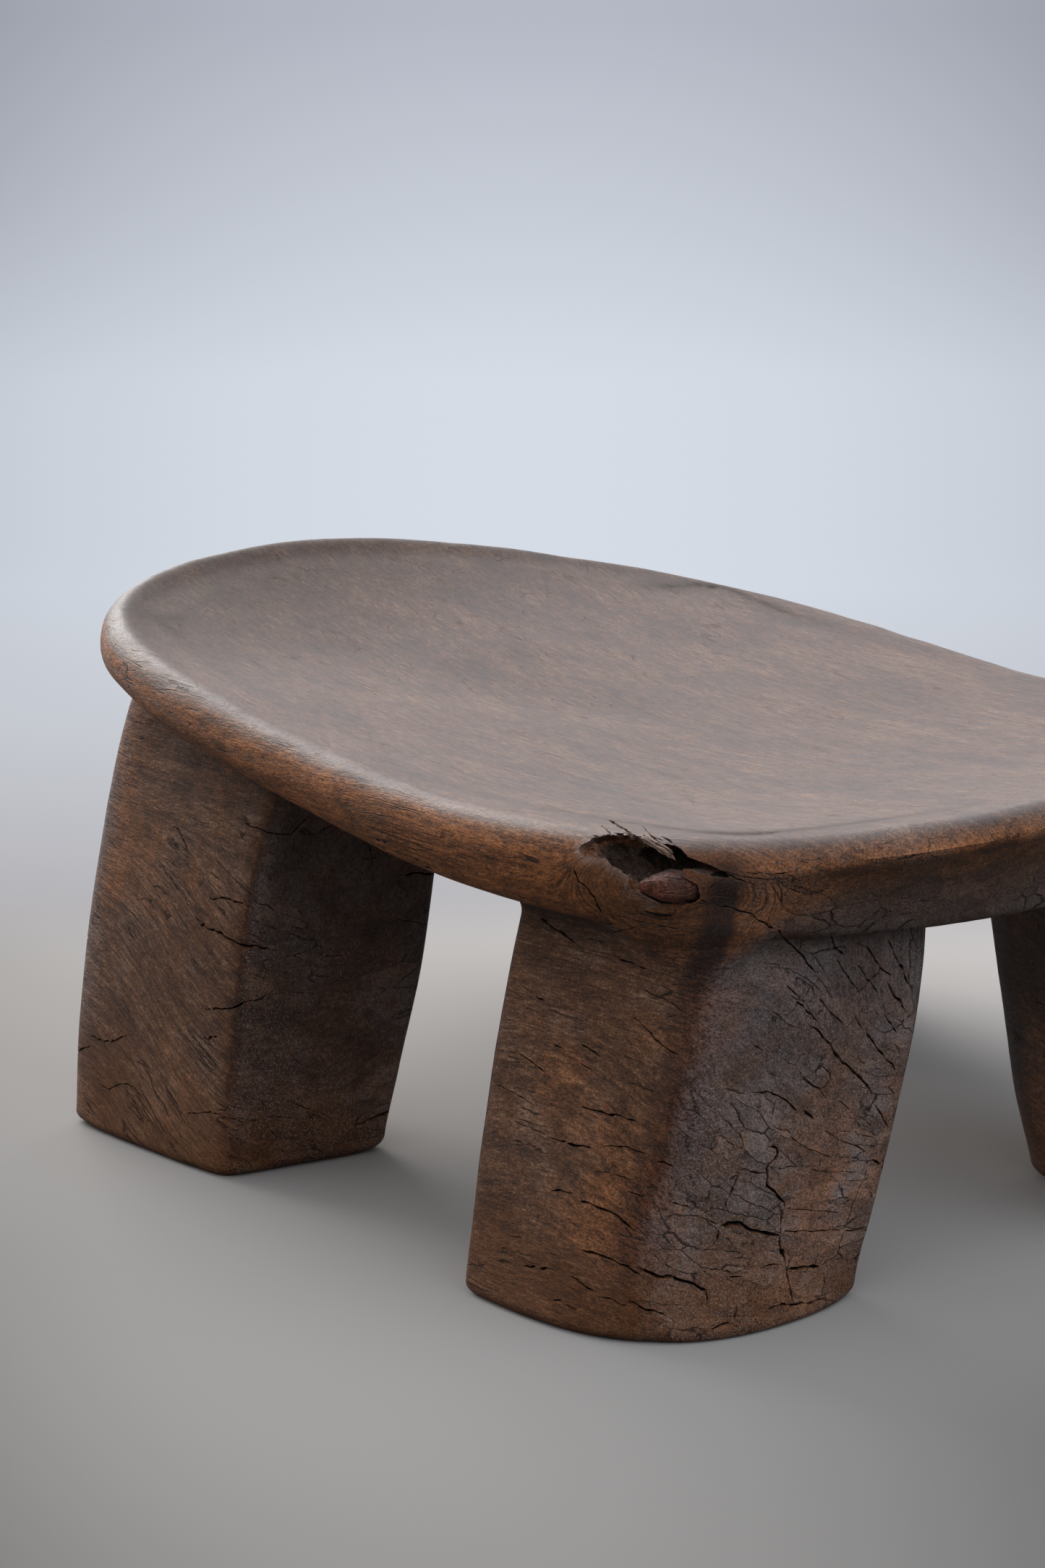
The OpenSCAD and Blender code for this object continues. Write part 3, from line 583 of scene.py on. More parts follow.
class Leg:
    """One leg's form: four hewn faces between corner lines, with worn ridges."""

    def __init__(self, name):
        data = LEGS[name]
        self.lines = rows_of([read_turns(line) for line in read_lines(data["corners"])]) * MM
        self.heights = rows_of(LEG_HEIGHTS) * MM
        self.round = rows_of(data["round"]) * MM
        self.blend = rows_of(data["blend"]) * MM
        self.foot = rows_of(data["foot"]) * MM
        self.sharp = data.get("sharp", 0)
        self.rows = data["rows"]
        self.sides = data["sides"]

    def corners(self, z):
        """The four corners at each height."""
        h = self.heights
        x = np.clip(z, h[0], h[-1] + 0.03)
        i = np.clip(np.searchsorted(h, x) - 1, 0, len(h) - 2)
        t = ((x - h[i]) / (h[i + 1] - h[i]))[:, None, None]
        p = self.lines.transpose(1, 0, 2)
        a, b = p[i], p[i + 1]
        lo, hi = p[np.maximum(i - 1, 0)], p[np.minimum(i + 2, len(h) - 1)]
        t2, t3 = t * t, t**3
        return (
            (2 * t3 - 3 * t2 + 1) * a
            + (t3 - 2 * t2 + t) * (b - lo) / 2
            + (3 * t2 - 2 * t3) * b
            + (t3 - t2) * (hi - a) / 2
        )

    def faces(self, c):
        """Outward ways and lengths of the four hewn faces between corners."""
        d = np.roll(c, -1, 1) - c
        length = np.linalg.norm(d, axis=2)
        return d, length, np.stack([d[..., 1], -d[..., 0]], -1) / length[..., None]

    def shares(self, q, c, m):
        """How near each level place is to each corner's way, as shares that add to 1."""
        d = c - m[:, None]
        cosine = (q[:, None] * d).sum(-1) / (
            np.linalg.norm(q, axis=1)[:, None] * np.linalg.norm(d, axis=2) + 1e-9
        )
        w = np.clip(cosine, 0, 1) ** 4 + 1e-6
        return w / w.sum(1, keepdims=True)

    def measure(self, points):
        """Distance from the hewn faces, negative inside, with each face's way and weight."""
        c = self.corners(points[:, 2])
        m = c.mean(1)
        d, length, out = self.faces(c)
        q = points[:, None, :2] - c
        along = (q * d).sum(-1) / length**2
        foot = np.exp(-points[:, 2:3] / (17 * MM))
        bulge = (1.2 * MM + self.foot * foot) * np.clip(1 - (2 * along - 1) ** 2, 0, 1)
        gaps = (q * out).sum(-1) - bulge
        size = (self.shares(points[:, :2] - m, c, m) * self.round).sum(1)[:, None]
        top = gaps.max(1, keepdims=True)
        w = np.exp((gaps - top) / size)
        total = w.sum(1, keepdims=True)
        return (top + size * np.log(total))[:, 0], out, w / total

    def distance(self, points):
        return self.measure(points)[0]

    def blends(self, points):
        c = self.corners(points[:, 2])
        m = c.mean(1)
        size = (self.shares(points[:, :2] - m, c, m) * self.blend).sum(1)
        return size * (1 - self.sharp * smooth(self.past_ridge(points, c)[1] / (17 * MM)))

    def past_ridge(self, points, c):
        """Distances from the outer ridge, back along the face before it and on along the next."""
        out = []
        for other in (3, 1):
            d = c[:, other] - c[:, 0]
            out.append(((points[:, :2] - c[:, 0]) * d).sum(1) / np.linalg.norm(d, axis=1))
        return out

    def skin(self, z, ways, inset=0.0):
        """Points of the skin at each height along level ways out of the leg's middle."""
        c = self.corners(z)
        m = c.mean(1)
        out = self.faces(c)[2]
        lean = (out * ways[:, None, :2]).sum(-1)
        start = ((m[:, None] - c) * out).sum(-1)
        r = np.where(lean > 1e-6, -start / np.maximum(lean, 1e-6), 1).min(1)
        for _ in range(6):
            p = np.concatenate([m + ways[:, :2] * r[:, None], z[:, None]], 1)
            gap, out, w = self.measure(p)
            lean = ((out * ways[:, None, :2]).sum(-1) * w).sum(1)
            r = np.clip(r - (gap + inset) / np.maximum(lean, 0.2), 2 * MM, 0.2)
        return np.concatenate([m + ways[:, :2] * r[:, None], z[:, None]], 1)


def joined(seat, leg, points):
    """Distance from a leg carved in one with the seat, negative inside the wood."""
    lip = seat.plane(seat.polar(points)[1], 1) - LIP_FALL
    k = 0.3 * MM + leg.blends(points) * smooth((lip + 1 * MM - points[:, 2]) / (15 * MM))
    return soft_min(seat.distance(points), leg.distance(points), k)


# Broad hollows, tool marks and small dents of the hewn skin: how tall each is drawn out, as the
# share of its height that is read, its size in metres, its seed and its depth in millimetres.
HEWN = ((0.7, 0.034, 3, 0.35), (0.6, 0.013, 5, 0.16), (1, 0.0052, 7, 0.05))


def hewn(points):
    """Depth of tool marks and wear over the block, outwards."""
    return sum(
        wave(points * (1, 1, tall), size, seed) * depth * MM for tall, size, seed, depth in HEWN
    )


def seam_sink(gap, blend):
    """How far a skin sinks below the shared blend where the other piece's skin takes over."""
    return 0.4 * MM * (1 - smooth(gap / (0.3 * blend)))


def march(start, ways, seat, leg, sunk, reach=8 * MM):
    """How far each start moves along its way to the carved blend of the seat and a leg."""
    lo = np.full(len(start), -1.5 * MM)
    hi = np.full(len(start), reach)
    found = np.zeros(len(start), bool)

    def outside(pick, far):
        points = start[pick] + ways[pick] * np.reshape(far, (-1, 1))
        return joined(seat, leg, points) + sunk[pick] >= 0

    for far in np.linspace(-0.5 * MM, reach, 9):
        todo = np.nonzero(~found)[0]
        if not len(todo):
            break
        hit = outside(todo, far)
        found[todo[hit]] = True
        hi[todo[hit]] = far
        lo[todo[~hit]] = far
    live = np.nonzero(found)[0]
    for _ in range(6):
        mid = (lo[live] + hi[live]) / 2
        out = outside(live, mid)
        hi[live] = np.where(out, mid, hi[live])
        lo[live] = np.where(out, lo[live], mid)
    return np.where(found, (lo + hi) / 2, 0)


def normals_of(piece):
    n = np.empty(len(piece.data.vertices) * 3)
    piece.data.vertices.foreach_get("normal", n)
    return n.reshape(-1, 3)


def clear_selection():
    if bpy.context.object and bpy.context.object.mode != "OBJECT":
        bpy.ops.object.mode_set(mode="OBJECT")
    bpy.ops.object.select_all(action="DESELECT")


def pick_only(piece):
    """Selects one piece and makes it the active one."""
    clear_selection()
    piece.select_set(True)
    bpy.context.view_layer.objects.active = piece


def change_all(piece, operator, **settings):
    """Runs a mesh operator on the whole of a piece."""
    pick_only(piece)
    bpy.ops.object.mode_set(mode="EDIT")
    bpy.ops.mesh.select_all(action="SELECT")
    operator(**settings)
    bpy.ops.object.mode_set(mode="OBJECT")


def read_points(piece):
    n = len(piece.data.vertices)
    p = np.empty(n * 3)
    piece.data.vertices.foreach_get("co", p)
    return p.reshape(n, 3)


def write_points(piece, points):
    piece.data.vertices.foreach_set("co", np.ascontiguousarray(points).ravel())
    piece.data.update()


def mesh_piece(name, points, faces):
    data = bpy.data.meshes.new(name)
    data.from_pydata([tuple(p) for p in points], [], faces)
    piece = bpy.data.objects.new(name, data)
    bpy.context.collection.objects.link(piece)
    return piece


def tree_of(piece):
    return BVHTree.FromPolygons(
        [v.co[:] for v in piece.data.vertices], [p.vertices[:] for p in piece.data.polygons]
    )


def combine(piece, other, operation):
    """Cuts another piece out of this one, or adds it, and removes the other."""
    pick_only(piece)
    change = piece.modifiers.new("cut", "BOOLEAN")
    change.operation = operation
    change.solver = "MANIFOLD"
    change.object = other
    bpy.ops.object.modifier_apply(modifier=change.name)
    data = other.data
    bpy.data.objects.remove(other)
    bpy.data.meshes.remove(data)


def read_cracks(text):
    """Sizes of the cracks and their turns in metres."""
    return [(int(size), read_turns(turns) * MM) for size, *turns in read_lines(text)]


def crack_line(turns, rng):
    """Turns of a crack with small jags between them."""
    rows = [turns[0]]
    for a, b in zip(turns[:-1], turns[1:]):
        count = max(1, int(np.linalg.norm(b - a) / (1.1 * MM)))
        for k in range(1, count + 1):
            jag = rng.normal(0, 0.1 * MM, 3) if k < count else 0
            rows.append(a + (b - a) * k / count + jag)
    return np.array(rows)


def evened(outs):
    """Outward ways along a crack, each evened with its neighbours."""
    for _ in range(2):
        outs[1:-1] = (outs[:-2] + outs[1:-1] + outs[2:]) / 3
    return outs / np.linalg.norm(outs, axis=1)[:, None]


def crack_body(line, outs, size, rng):
    """A thin wedge along a line, with its edge inside the wood."""
    width, depth = rows_of(CRACK_SIZES[size]) * MM
    n = len(line)
    t = np.arange(n) / (n - 1)
    length = np.linalg.norm(np.diff(line, axis=0), axis=1).sum()
    full = np.clip(np.sin(math.pi * np.clip(t, 0.01, 0.99)) * 4, 0.3, 1)
    full *= 0.8 + 0.2 * smooth(length / (12 * MM))
    half = width / 2 * full * rng.uniform(0.7, 1.25, n)
    low = depth * np.sqrt(full) * rng.uniform(0.75, 1.15, n)
    ahead = np.gradient(line, axis=0)
    side = np.cross(outs, ahead)
    side /= np.linalg.norm(side, axis=1)[:, None] + 1e-12
    rise = 0.7 * MM
    top = half * (low + rise) / low
    lean = side * rng.normal(0, 0.25, (n, 1)) * low[:, None]
    rows = [
        line + outs * rise - side * top[:, None],
        line + outs * rise + side * top[:, None],
        line - outs * low[:, None] + lean,
    ]
    points = np.stack(rows, 1).reshape(-1, 3)
    faces = [(2, 1, 0), (3 * n - 3, 3 * n - 2, 3 * n - 1)]
    for k in range(n - 1):
        a, b = 3 * k, 3 * k + 3
        for i, j in ((0, 1), (1, 2), (2, 0)):
            faces.append((a + i, a + j, b + j, b + i))
    return points, faces


def cut_cracks(piece, bodies):
    """Cuts wedges out of a piece, a group that doesn't overlap at a time."""
    groups = []
    for points, faces in bodies:
        lo, hi = points.min(0) - 0.2 * MM, points.max(0) + 0.2 * MM
        for group in groups:
            if all(((hi < a) | (lo > b)).any() for a, b in group["boxes"]):
                break
        else:
            group = {"boxes": [], "points": [], "faces": [], "count": 0}
            groups.append(group)
        group["boxes"].append((lo, hi))
        group["points"].extend(points)
        group["faces"].extend([tuple(i + group["count"] for i in f) for f in faces])
        group["count"] += len(points)
    for group in groups:
        cutter = mesh_piece("crack cutter", group["points"], group["faces"])
        change_all(cutter, bpy.ops.mesh.normals_make_consistent, inside=False)
        combine(piece, cutter, "DIFFERENCE")


def seen_cracks(cracks, trees, seed):
    """Wedges of the cracks, laid on the wood where a level line from the front meets it."""
    rng = np.random.default_rng(seed)
    bodies = []
    for size, turns in cracks:
        line = crack_line(np.insert(turns, 1, 0, axis=1), rng)
        spots, outs = [], []
        for p in line:
            hits = [t.ray_cast(Vector((p[0], -0.4, p[2])), Vector((0, 1, 0))) for t in trees]
            hits = [h for h in hits if h[0] is not None]
            if hits:
                spot = min(hits, key=lambda h: h[3])
                spots.append(spot[0][:])
                outs.append(spot[1][:])
        if len(spots) < 3:
            continue
        bodies.append(crack_body(rows_of(spots), evened(rows_of(outs)), size, rng))
    return bodies


def top_cracks(cracks, tree, seed):
    """Wedges of the cracks in the seat's top."""
    rng = np.random.default_rng(seed)
    bodies = []
    for size, turns in cracks:
        line = crack_line(np.insert(turns, 2, 0.2, axis=1), rng)
        hits = [tree.ray_cast(Vector(p), Vector((0, 0, -1))) for p in line]
        spots = rows_of([h[0][:] for h in hits])
        bodies.append(crack_body(spots, np.tile((0.0, 0.0, 1.0), (len(spots), 1)), size, rng))
    return bodies


GRAIN = rows_of(((1, -1, 0), (1, 1, 0))) / math.sqrt(2)


def layers(points):
    """Place along the fibres, across them and through the layers of the wood."""
    u, v = (points * GRAIN[0]).sum(1), (points * GRAIN[1]).sum(1)
    x, y, z = points.T
    low = smooth((110 * MM - z) / (45 * MM))
    front = np.exp(-(((x + 5 * MM) / 0.075) ** 2 + ((y + 0.142) / 0.07) ** 2)) * low
    left = np.exp(-(((x + 0.13) / 0.07) ** 2 + ((y + 0.012) / 0.06) ** 2)) * low
    f = z + 0.05 * u
    f = f + front * (0.1 * u + (v + 0.104) * (0.25 + 0.9 * smooth((z - 15 * MM) / 0.075)))
    f = f + left * 0.85 * (u + 0.083)
    f = f + wave(points, 0.06, 21) * 2.2 * MM + wave(points, 0.02, 22) * 0.5 * MM
    near = np.exp(-((knot_gap(points) / (7 * MM)) ** 2))
    return np.stack([u, v, f * (1 - near) + near * knot_gap(points)], -1)


def knot_form():
    """The knot's middle and half sizes in metres."""
    t = bpy.context.scene.stool_knot
    return rows_of(t.middle), rows_of(t.size)


def knot_gap(points):
    """Distance from the dead knot's outline, as seen from the front."""
    middle, size = knot_form()
    q = (points - middle) / size
    r = np.sqrt((q * q).sum(1))
    return np.maximum(r - 1, 0) * size[2] * 1.3


# Points deeper under the uncut skin than this are the walls of a cut.
CUT_DEPTH = 0.15 * MM
# Way of the torn fibres in the hollow.
TORN_WAY = rows_of((0.62, -0.2, -0.76))
# Lumps of the weathered hollow at the front corner: middle, half sizes, turns, taper and
# roughness, then the level of their mesh and the count of small bites round them.
HOLLOW = (
    ((-18.4, -174.6, 123.0), (9.6, 7.6, 4.4), (-14, 8, 4), 0.25, 1.2, 6, 10),
    ((-32.0, -171.6, 125.6), (10.0, 4.4, 3.2), (-30, 11, 22), 0.45, 0.7, 5, 6),
    ((-26.0, -173.4, 123.4), (6.6, 6.2, 4.8), (-24, 16, 12), 0.2, 1.2, 6, 8),
    ((-22.4, -176.0, 119.8), (3.4, 5.6, 4.4), (0, 34, 0), 0.1, 0.9, 5, 5),
    ((-8.4, -179.0, 122.3), (7.6, 3.4, 1.35), (0, 17, -6), -0.3, 0.35, 5, 0),
)
# Ends of the splinter that stands over the hollow, and of the torn edge above it.
SPLINTER = rows_of(((-22.2, -171.6, 127.4), (-14.2, -178.2, 124.2)))
TOP_EDGE = rows_of(((-36.5, -167.6, 127.6), (-16, -171.5, 127.8)))


def store(piece, name, values):
    kind = "FLOAT_VECTOR" if values.ndim == 2 else "FLOAT"
    layer = piece.data.attributes.new(name, kind, "POINT")
    layer.data.foreach_set("vector" if values.ndim == 2 else "value", values.ravel())


def spans(points, middle, reach):
    """Distance of each point from a middle, measured in reaches."""
    return np.linalg.norm((points - middle) / reach, axis=1)


def depths(points, skin):
    """How deep under the uncut skin each cut point lies. The others are at 0."""
    tree, uncut = skin
    first = {row.tobytes() for row in uncut.astype(np.float32)}
    deep = np.zeros(len(points))
    for i, row in enumerate(points.astype(np.float32)):
        if row.tobytes() not in first:
            deep[i] = tree.find_nearest(Vector(row))[3]
    return deep


def lip_shares(points, cut, deep):
    """How far each point belongs to the pale broken edge of the hollow, or to its splinter."""
    lip = np.zeros(len(points))
    if not cut.any():
        return lip
    tree = KDTree(int(cut.sum()))
    for i, row in enumerate(points[cut]):
        tree.insert(row, i)
    tree.balance()
    close = np.nonzero(spans(points, rows_of((-22, -174, 122)) * MM, 30 * MM) < 1)[0]
    p, deep = points[close], deep[close]
    gap = rows_of([tree.find(row)[2] for row in p])
    edge = np.where(deep > CUT_DEPTH, 1 - deep / (1.2 * MM), 1 - gap / (2.0 * MM))
    low = smooth((p[:, 0] + 45 * MM) / (8 * MM)) * (p[:, 2] < 127 * MM) * (p[:, 0] < -18 * MM)
    way = SPLINTER[1] - SPLINTER[0]
    share = np.clip(((p - SPLINTER[0] * MM) @ way) / (way @ way) / MM, 0, 1)
    off = np.linalg.norm(p - (SPLINTER[0] + way * share[:, None]) * MM, axis=1)
    strand = (off < 1.9 * MM) * (deep < 3 * MM) * 0.5
    lip[close] = np.maximum(np.clip(edge, 0, 1) * low, strand)
    return lip


def painted_shades(points, normals, q, out, rim_painted_shade):
    """Painted shade: the dark of the right rim, of the dish's far left and of the faces turned in below."""
    back = points[:, 1] * 0.5 - q[:, 0] * 0.8
    far_left_shade = smooth((back - 75 * MM) / (65 * MM)) * (normals[:, 2] > 0.5)
    inward = -(q * normals[:, :2]).sum(1) / out
    aside = -np.sign(q[:, 0]) * normals[:, 0] * smooth((np.abs(q[:, 0]) - 60 * MM) / (30 * MM))
    under_seat_shade = smooth((np.maximum(inward, aside) - 0.1) / 0.5)
    under_seat_shade = under_seat_shade * smooth((points[:, 2] - 15 * MM) / (60 * MM)) * 0.85
    return np.maximum(rim_painted_shade, 0.85 * far_left_shade), under_seat_shade


def dress(piece, seat, legs, skin):
    """Stores what the wood's finish follows: grain, wear, crease dirt with painted shade, crack depth and painted
    shade.
    """
    points, normals = read_points(piece), normals_of(piece)
    deep = depths(points, skin)
    middle, size = knot_form()
    near = [spans(points, rows_of(m) * MM, rows_of(half) * MM) for m, half, *_ in HOLLOW]
    near.append(spans(points, middle, size + 1 * MM))
    inside = (np.min(near, 0) < 1.4) & (piece.name == "seat_carved")
    store(piece, "lip", lip_shares(points, inside & (deep > CUT_DEPTH), deep))
    store(piece, "hollow", np.where(inside, smooth((deep - 1.5 * MM) / (7 * MM)), 0.0))
    across = np.cross(TORN_WAY, (0, 1, 0.3))
    ways = (TORN_WAY, across, np.cross(TORN_WAY, across))
    share = (smooth(deep / (1.5 * MM)) * inside)[:, None]
    torn = np.stack([points @ way for way in ways], -1)
    store(piece, "grain", layers(points) * (1 - share) + torn * share)
    deep = np.where(inside, 0, deep)
    store(piece, "deep", np.clip(deep / (1.0 * MM), 0, 1) * (deep > 0.04 * MM))
    store(piece, "end", smooth((np.abs((normals * GRAIN[0]).sum(1)) - 0.45) / 0.35))

    q, way, out = seat.polar(points)
    inset = seat.outline(way) - out
    under = seat.plane(way, 1) - points[:, 2]
    low = smooth((34 * MM - under) / (8 * MM))
    rim = np.clip(1 - (inset - 3 * MM) / (8 * MM), 0, 1) * smooth(under / (5 * MM)) * low
    store(piece, "rim", rim)
    right = right_side(way, -94, 16)
    # painted shade on the right rim's lower facet, on the dish's far left and on the faces turned in under the seat
    rim_painted_shade = right * smooth((under - 6 * MM) / (3 * MM)) * low * (inset < 22 * MM)
    stain, under_seat_shade = painted_shades(points, normals, q, out, rim_painted_shade)
    store(piece, "stain", np.maximum(stain, under_seat_shade * (under > 25 * MM)))

    crest = np.exp(-(((inset - 4 * MM) / (5 * MM)) ** 2)) * smooth(1 - under / (12 * MM))
    arris = 0.6 * np.exp(-(((under - 8 * MM) / (2.5 * MM)) ** 2)) * (inset < 3 * MM)
    wear = np.maximum(crest, arris)
    ridge = np.full(len(points), -3.0)
    grime = np.zeros(len(points))
    gap = seat.distance(points)
    for leg in legs:
        near = np.nonzero(np.abs(leg.distance(points)) < 25 * MM)[0]
        if not len(near):
            continue
        p = points[near]
        own, _, w = leg.measure(p)
        before, after = leg.past_ridge(p, leg.corners(p[:, 2]))
        ridge[near] = np.clip((after - before) / (10 * MM), -3, 3)
        w = np.sort(w, 1)
        edge = np.clip(w[:, -2] * 2.2, 0, 1) * np.exp(-np.abs(own) / (3 * MM))
        wear[near] = np.maximum(wear[near], edge * (p[:, 2] < 110 * MM))
        # dirt with painted shade in the crease where the leg meets the seat
        corner = np.hypot(gap[near], own)
        grime[near] = np.maximum(grime[near], np.exp(-corner / (3.5 * MM)))
    store(piece, "ridge", ridge)
    store(piece, "wear", np.clip(wear, 0, 1))
    store(piece, "grime", np.clip(grime, 0, 1))


def lump(middle, size, turns, taper, seed, rough, level=5, blunt=2.0):
    """A closed lump with a torn skin. Turns are in degrees about X, Y and Z in this order."""
    clear_selection()
    bpy.ops.mesh.primitive_ico_sphere_add(subdivisions=level, radius=1, location=(0, 0, 0))
    piece = bpy.context.object
    p = read_points(piece)
    p /= (np.abs(p) ** blunt).sum(1)[:, None] ** (1 / blunt)
    narrow = 1 - abs(taper) * smooth(-p[:, 0] if taper > 0 else p[:, 0]) * 0.75
    q = p * np.stack([np.ones(len(p)), narrow, narrow], -1) * rows_of(size) * MM
    turn = Euler([math.radians(t) for t in turns]).to_matrix()
    q = q @ rows_of(turn).T + rows_of(middle) * MM
    out = p @ rows_of(turn).T
    across = q - TORN_WAY * (q @ TORN_WAY)[:, None] * 0.82
    torn = wave(across, 0.0016, seed) + 0.6 * wave(across, 0.0008, seed + 1)
    broad = wave(q, 0.006, seed + 2)
    q += out * ((torn * 0.75 + broad * 1.4) * rough * MM)[:, None]
    write_points(piece, q)
    return piece


# Counts of the slits along the torn edge and of the splinter's strands.
SLITS, STRANDS = 14, 3


def carve_hollow(seat_piece):
    """Cuts the hollow above the knot and the knot's socket, and adds the splinter and a swell."""
    rng = np.random.default_rng(12)
    cutter = None
    for k, (middle, size, turns, taper, rough, level, bites) in enumerate(HOLLOW):
        part = lump(middle, size, turns, taper, 31 + 5 * k, rough, level)
        if cutter is None:
            cutter = part
        else:
            combine(cutter, part, "UNION")
        for j in range(bites):
            way = rng.normal(0, 1, 3)
            way /= np.linalg.norm(way)
            spot = rows_of(middle) + way * size * 0.85
            small = rng.uniform((1.2, 0.5, 0.5), (3.2, 1.2, 1.0)) * (1 if k < 3 else 0.7)
            turns = (20, rng.uniform(0, 40), rng.uniform(-60, -20))
            combine(cutter, lump(spot, small, turns, 0.3, 90 + j, 0.5, 4), "UNION")
    for j in range(SLITS):
        share = rng.uniform(0, 1)
        spot = TOP_EDGE[0] * (1 - share) + TOP_EDGE[1] * share
        spot = spot + rng.normal(0, 0.4, 3) - (0, 1.6, 0)
        size = (rng.uniform(1.4, 2.4), rng.uniform(0.2, 0.45), 1.4)
        turns = (0, rng.uniform(15, 40), rng.uniform(-70, -40))
        combine(cutter, lump(spot, size, turns, 0.5, 120 + j, 0.12, 3), "UNION")
    combine(seat_piece, cutter, "DIFFERENCE")
    middle, size = knot_form()
    socket = lump(middle / MM, size / MM + 0.6, KNOT_TURNS, 0.6, 52, 0.3, 5, 2.6)
    combine(seat_piece, socket, "DIFFERENCE")
    near = spans(read_points(seat_piece), rows_of((-24, -174, 123)) * MM, 22 * MM) < 1
    pick_only(seat_piece)
    bpy.ops.object.mode_set(mode="EDIT")
    bpy.ops.mesh.select_all(action="DESELECT")
    bpy.ops.object.mode_set(mode="OBJECT")
    seat_piece.data.vertices.foreach_set("select", near)
    bpy.ops.object.mode_set(mode="EDIT")
    bpy.ops.mesh.vertices_smooth(factor=0.4, repeat=1)
    bpy.ops.object.mode_set(mode="OBJECT")
    middle = SPLINTER.mean(0)
    splinter = lump(middle, (5.6, 1.3, 0.7), (10, 22, -40), -0.9, 61, 0.7, 5)
    for k in range(STRANDS):
        spot = middle + rng.normal(0, 0.7, 3)
        size = (rng.uniform(3.4, 5.6), rng.uniform(0.3, 0.5), rng.uniform(0.25, 0.4))
        turns = (0, rng.uniform(16, 28), rng.uniform(-50, -34))
        combine(splinter, lump(spot, size, turns, -0.5, 150 + k, 0.3, 4), "UNION")
    combine(seat_piece, splinter, "UNION")
    swell = lump((-15.0, -177.4, 111.3), (6.6, 1.6, 1.8), (0, -4, 0), 0.3, 66, 0.2, 5)
    combine(seat_piece, swell, "UNION")


def make_knot():
    """A blunt lump with a grid of fine grooves, in its socket."""
    middle, size = knot_form()
    knot = lump(middle / MM, size / MM, KNOT_TURNS, 0.6, 71, 0.3, 6, 2.6)
    p = read_points(knot)
    q = (p - middle) / MM
    rings = np.abs(wave(np.stack([q[:, 0] * 0.75, q[:, 1] * 0.12, q[:, 2] * 0.1], -1), 1.0, 81))
    bars = np.abs(wave(np.stack([q[:, 0] * 0.08, q[:, 1] * 0.7, q[:, 2] * 0.9], -1), 1.0, 83))
    cut = np.exp(-((rings / 0.06) ** 2)) * 0.16 + np.exp(-((bars / 0.07) ** 2)) * 0.22
    p -= normals_of(knot) * (cut * MM)[:, None]
    write_points(knot, p)
    return knot


def grown_cracks(leg, tree, count, seed):
    """Wedges of seeded checks that follow the fibres round a leg."""
    rng = np.random.default_rng(seed)
    bodies = []
    for _ in range(count):
        size = int(rng.choice((1, 1, 2, 2, 3, 4)))
        length = rng.uniform(7, 20 + 6 * size) * MM
        steps = max(4, int(length / (1.2 * MM)))
        angle, z = rng.uniform(0, TAU), rng.uniform(5, 112) * MM
        slope = rng.uniform(-0.5, 0.1)
        spots, outs = [], []
        for k in range(steps):
            way = np.array([[math.cos(angle), math.sin(angle), 0.0]])
            near = leg.skin(np.array([z]), way)[0]
            spot, out, _, gap = tree.find_nearest(Vector(near))
            if gap > 3 * MM:
                break
            spots.append(spot[:])
            outs.append(out[:])
            slope += rng.normal(0, 0.18) - 0.08 * slope
            angle += length / steps / (48 * MM)
            z = max(z + slope * length / steps, 4 * MM)
        if len(spots) < 4:
            continue
        bodies.append(crack_body(rows_of(spots), evened(rows_of(outs)), size, rng))
    return bodies


# First and last height and step, in millimetres, of the search for the seat over a leg.
SCAN = (70, 152, 1.5)
# Rows of a leg's mesh in its worn foot, and in the part that is tucked into the seat.
FOOT_ROWS, TUCK_ROWS = 6, 4


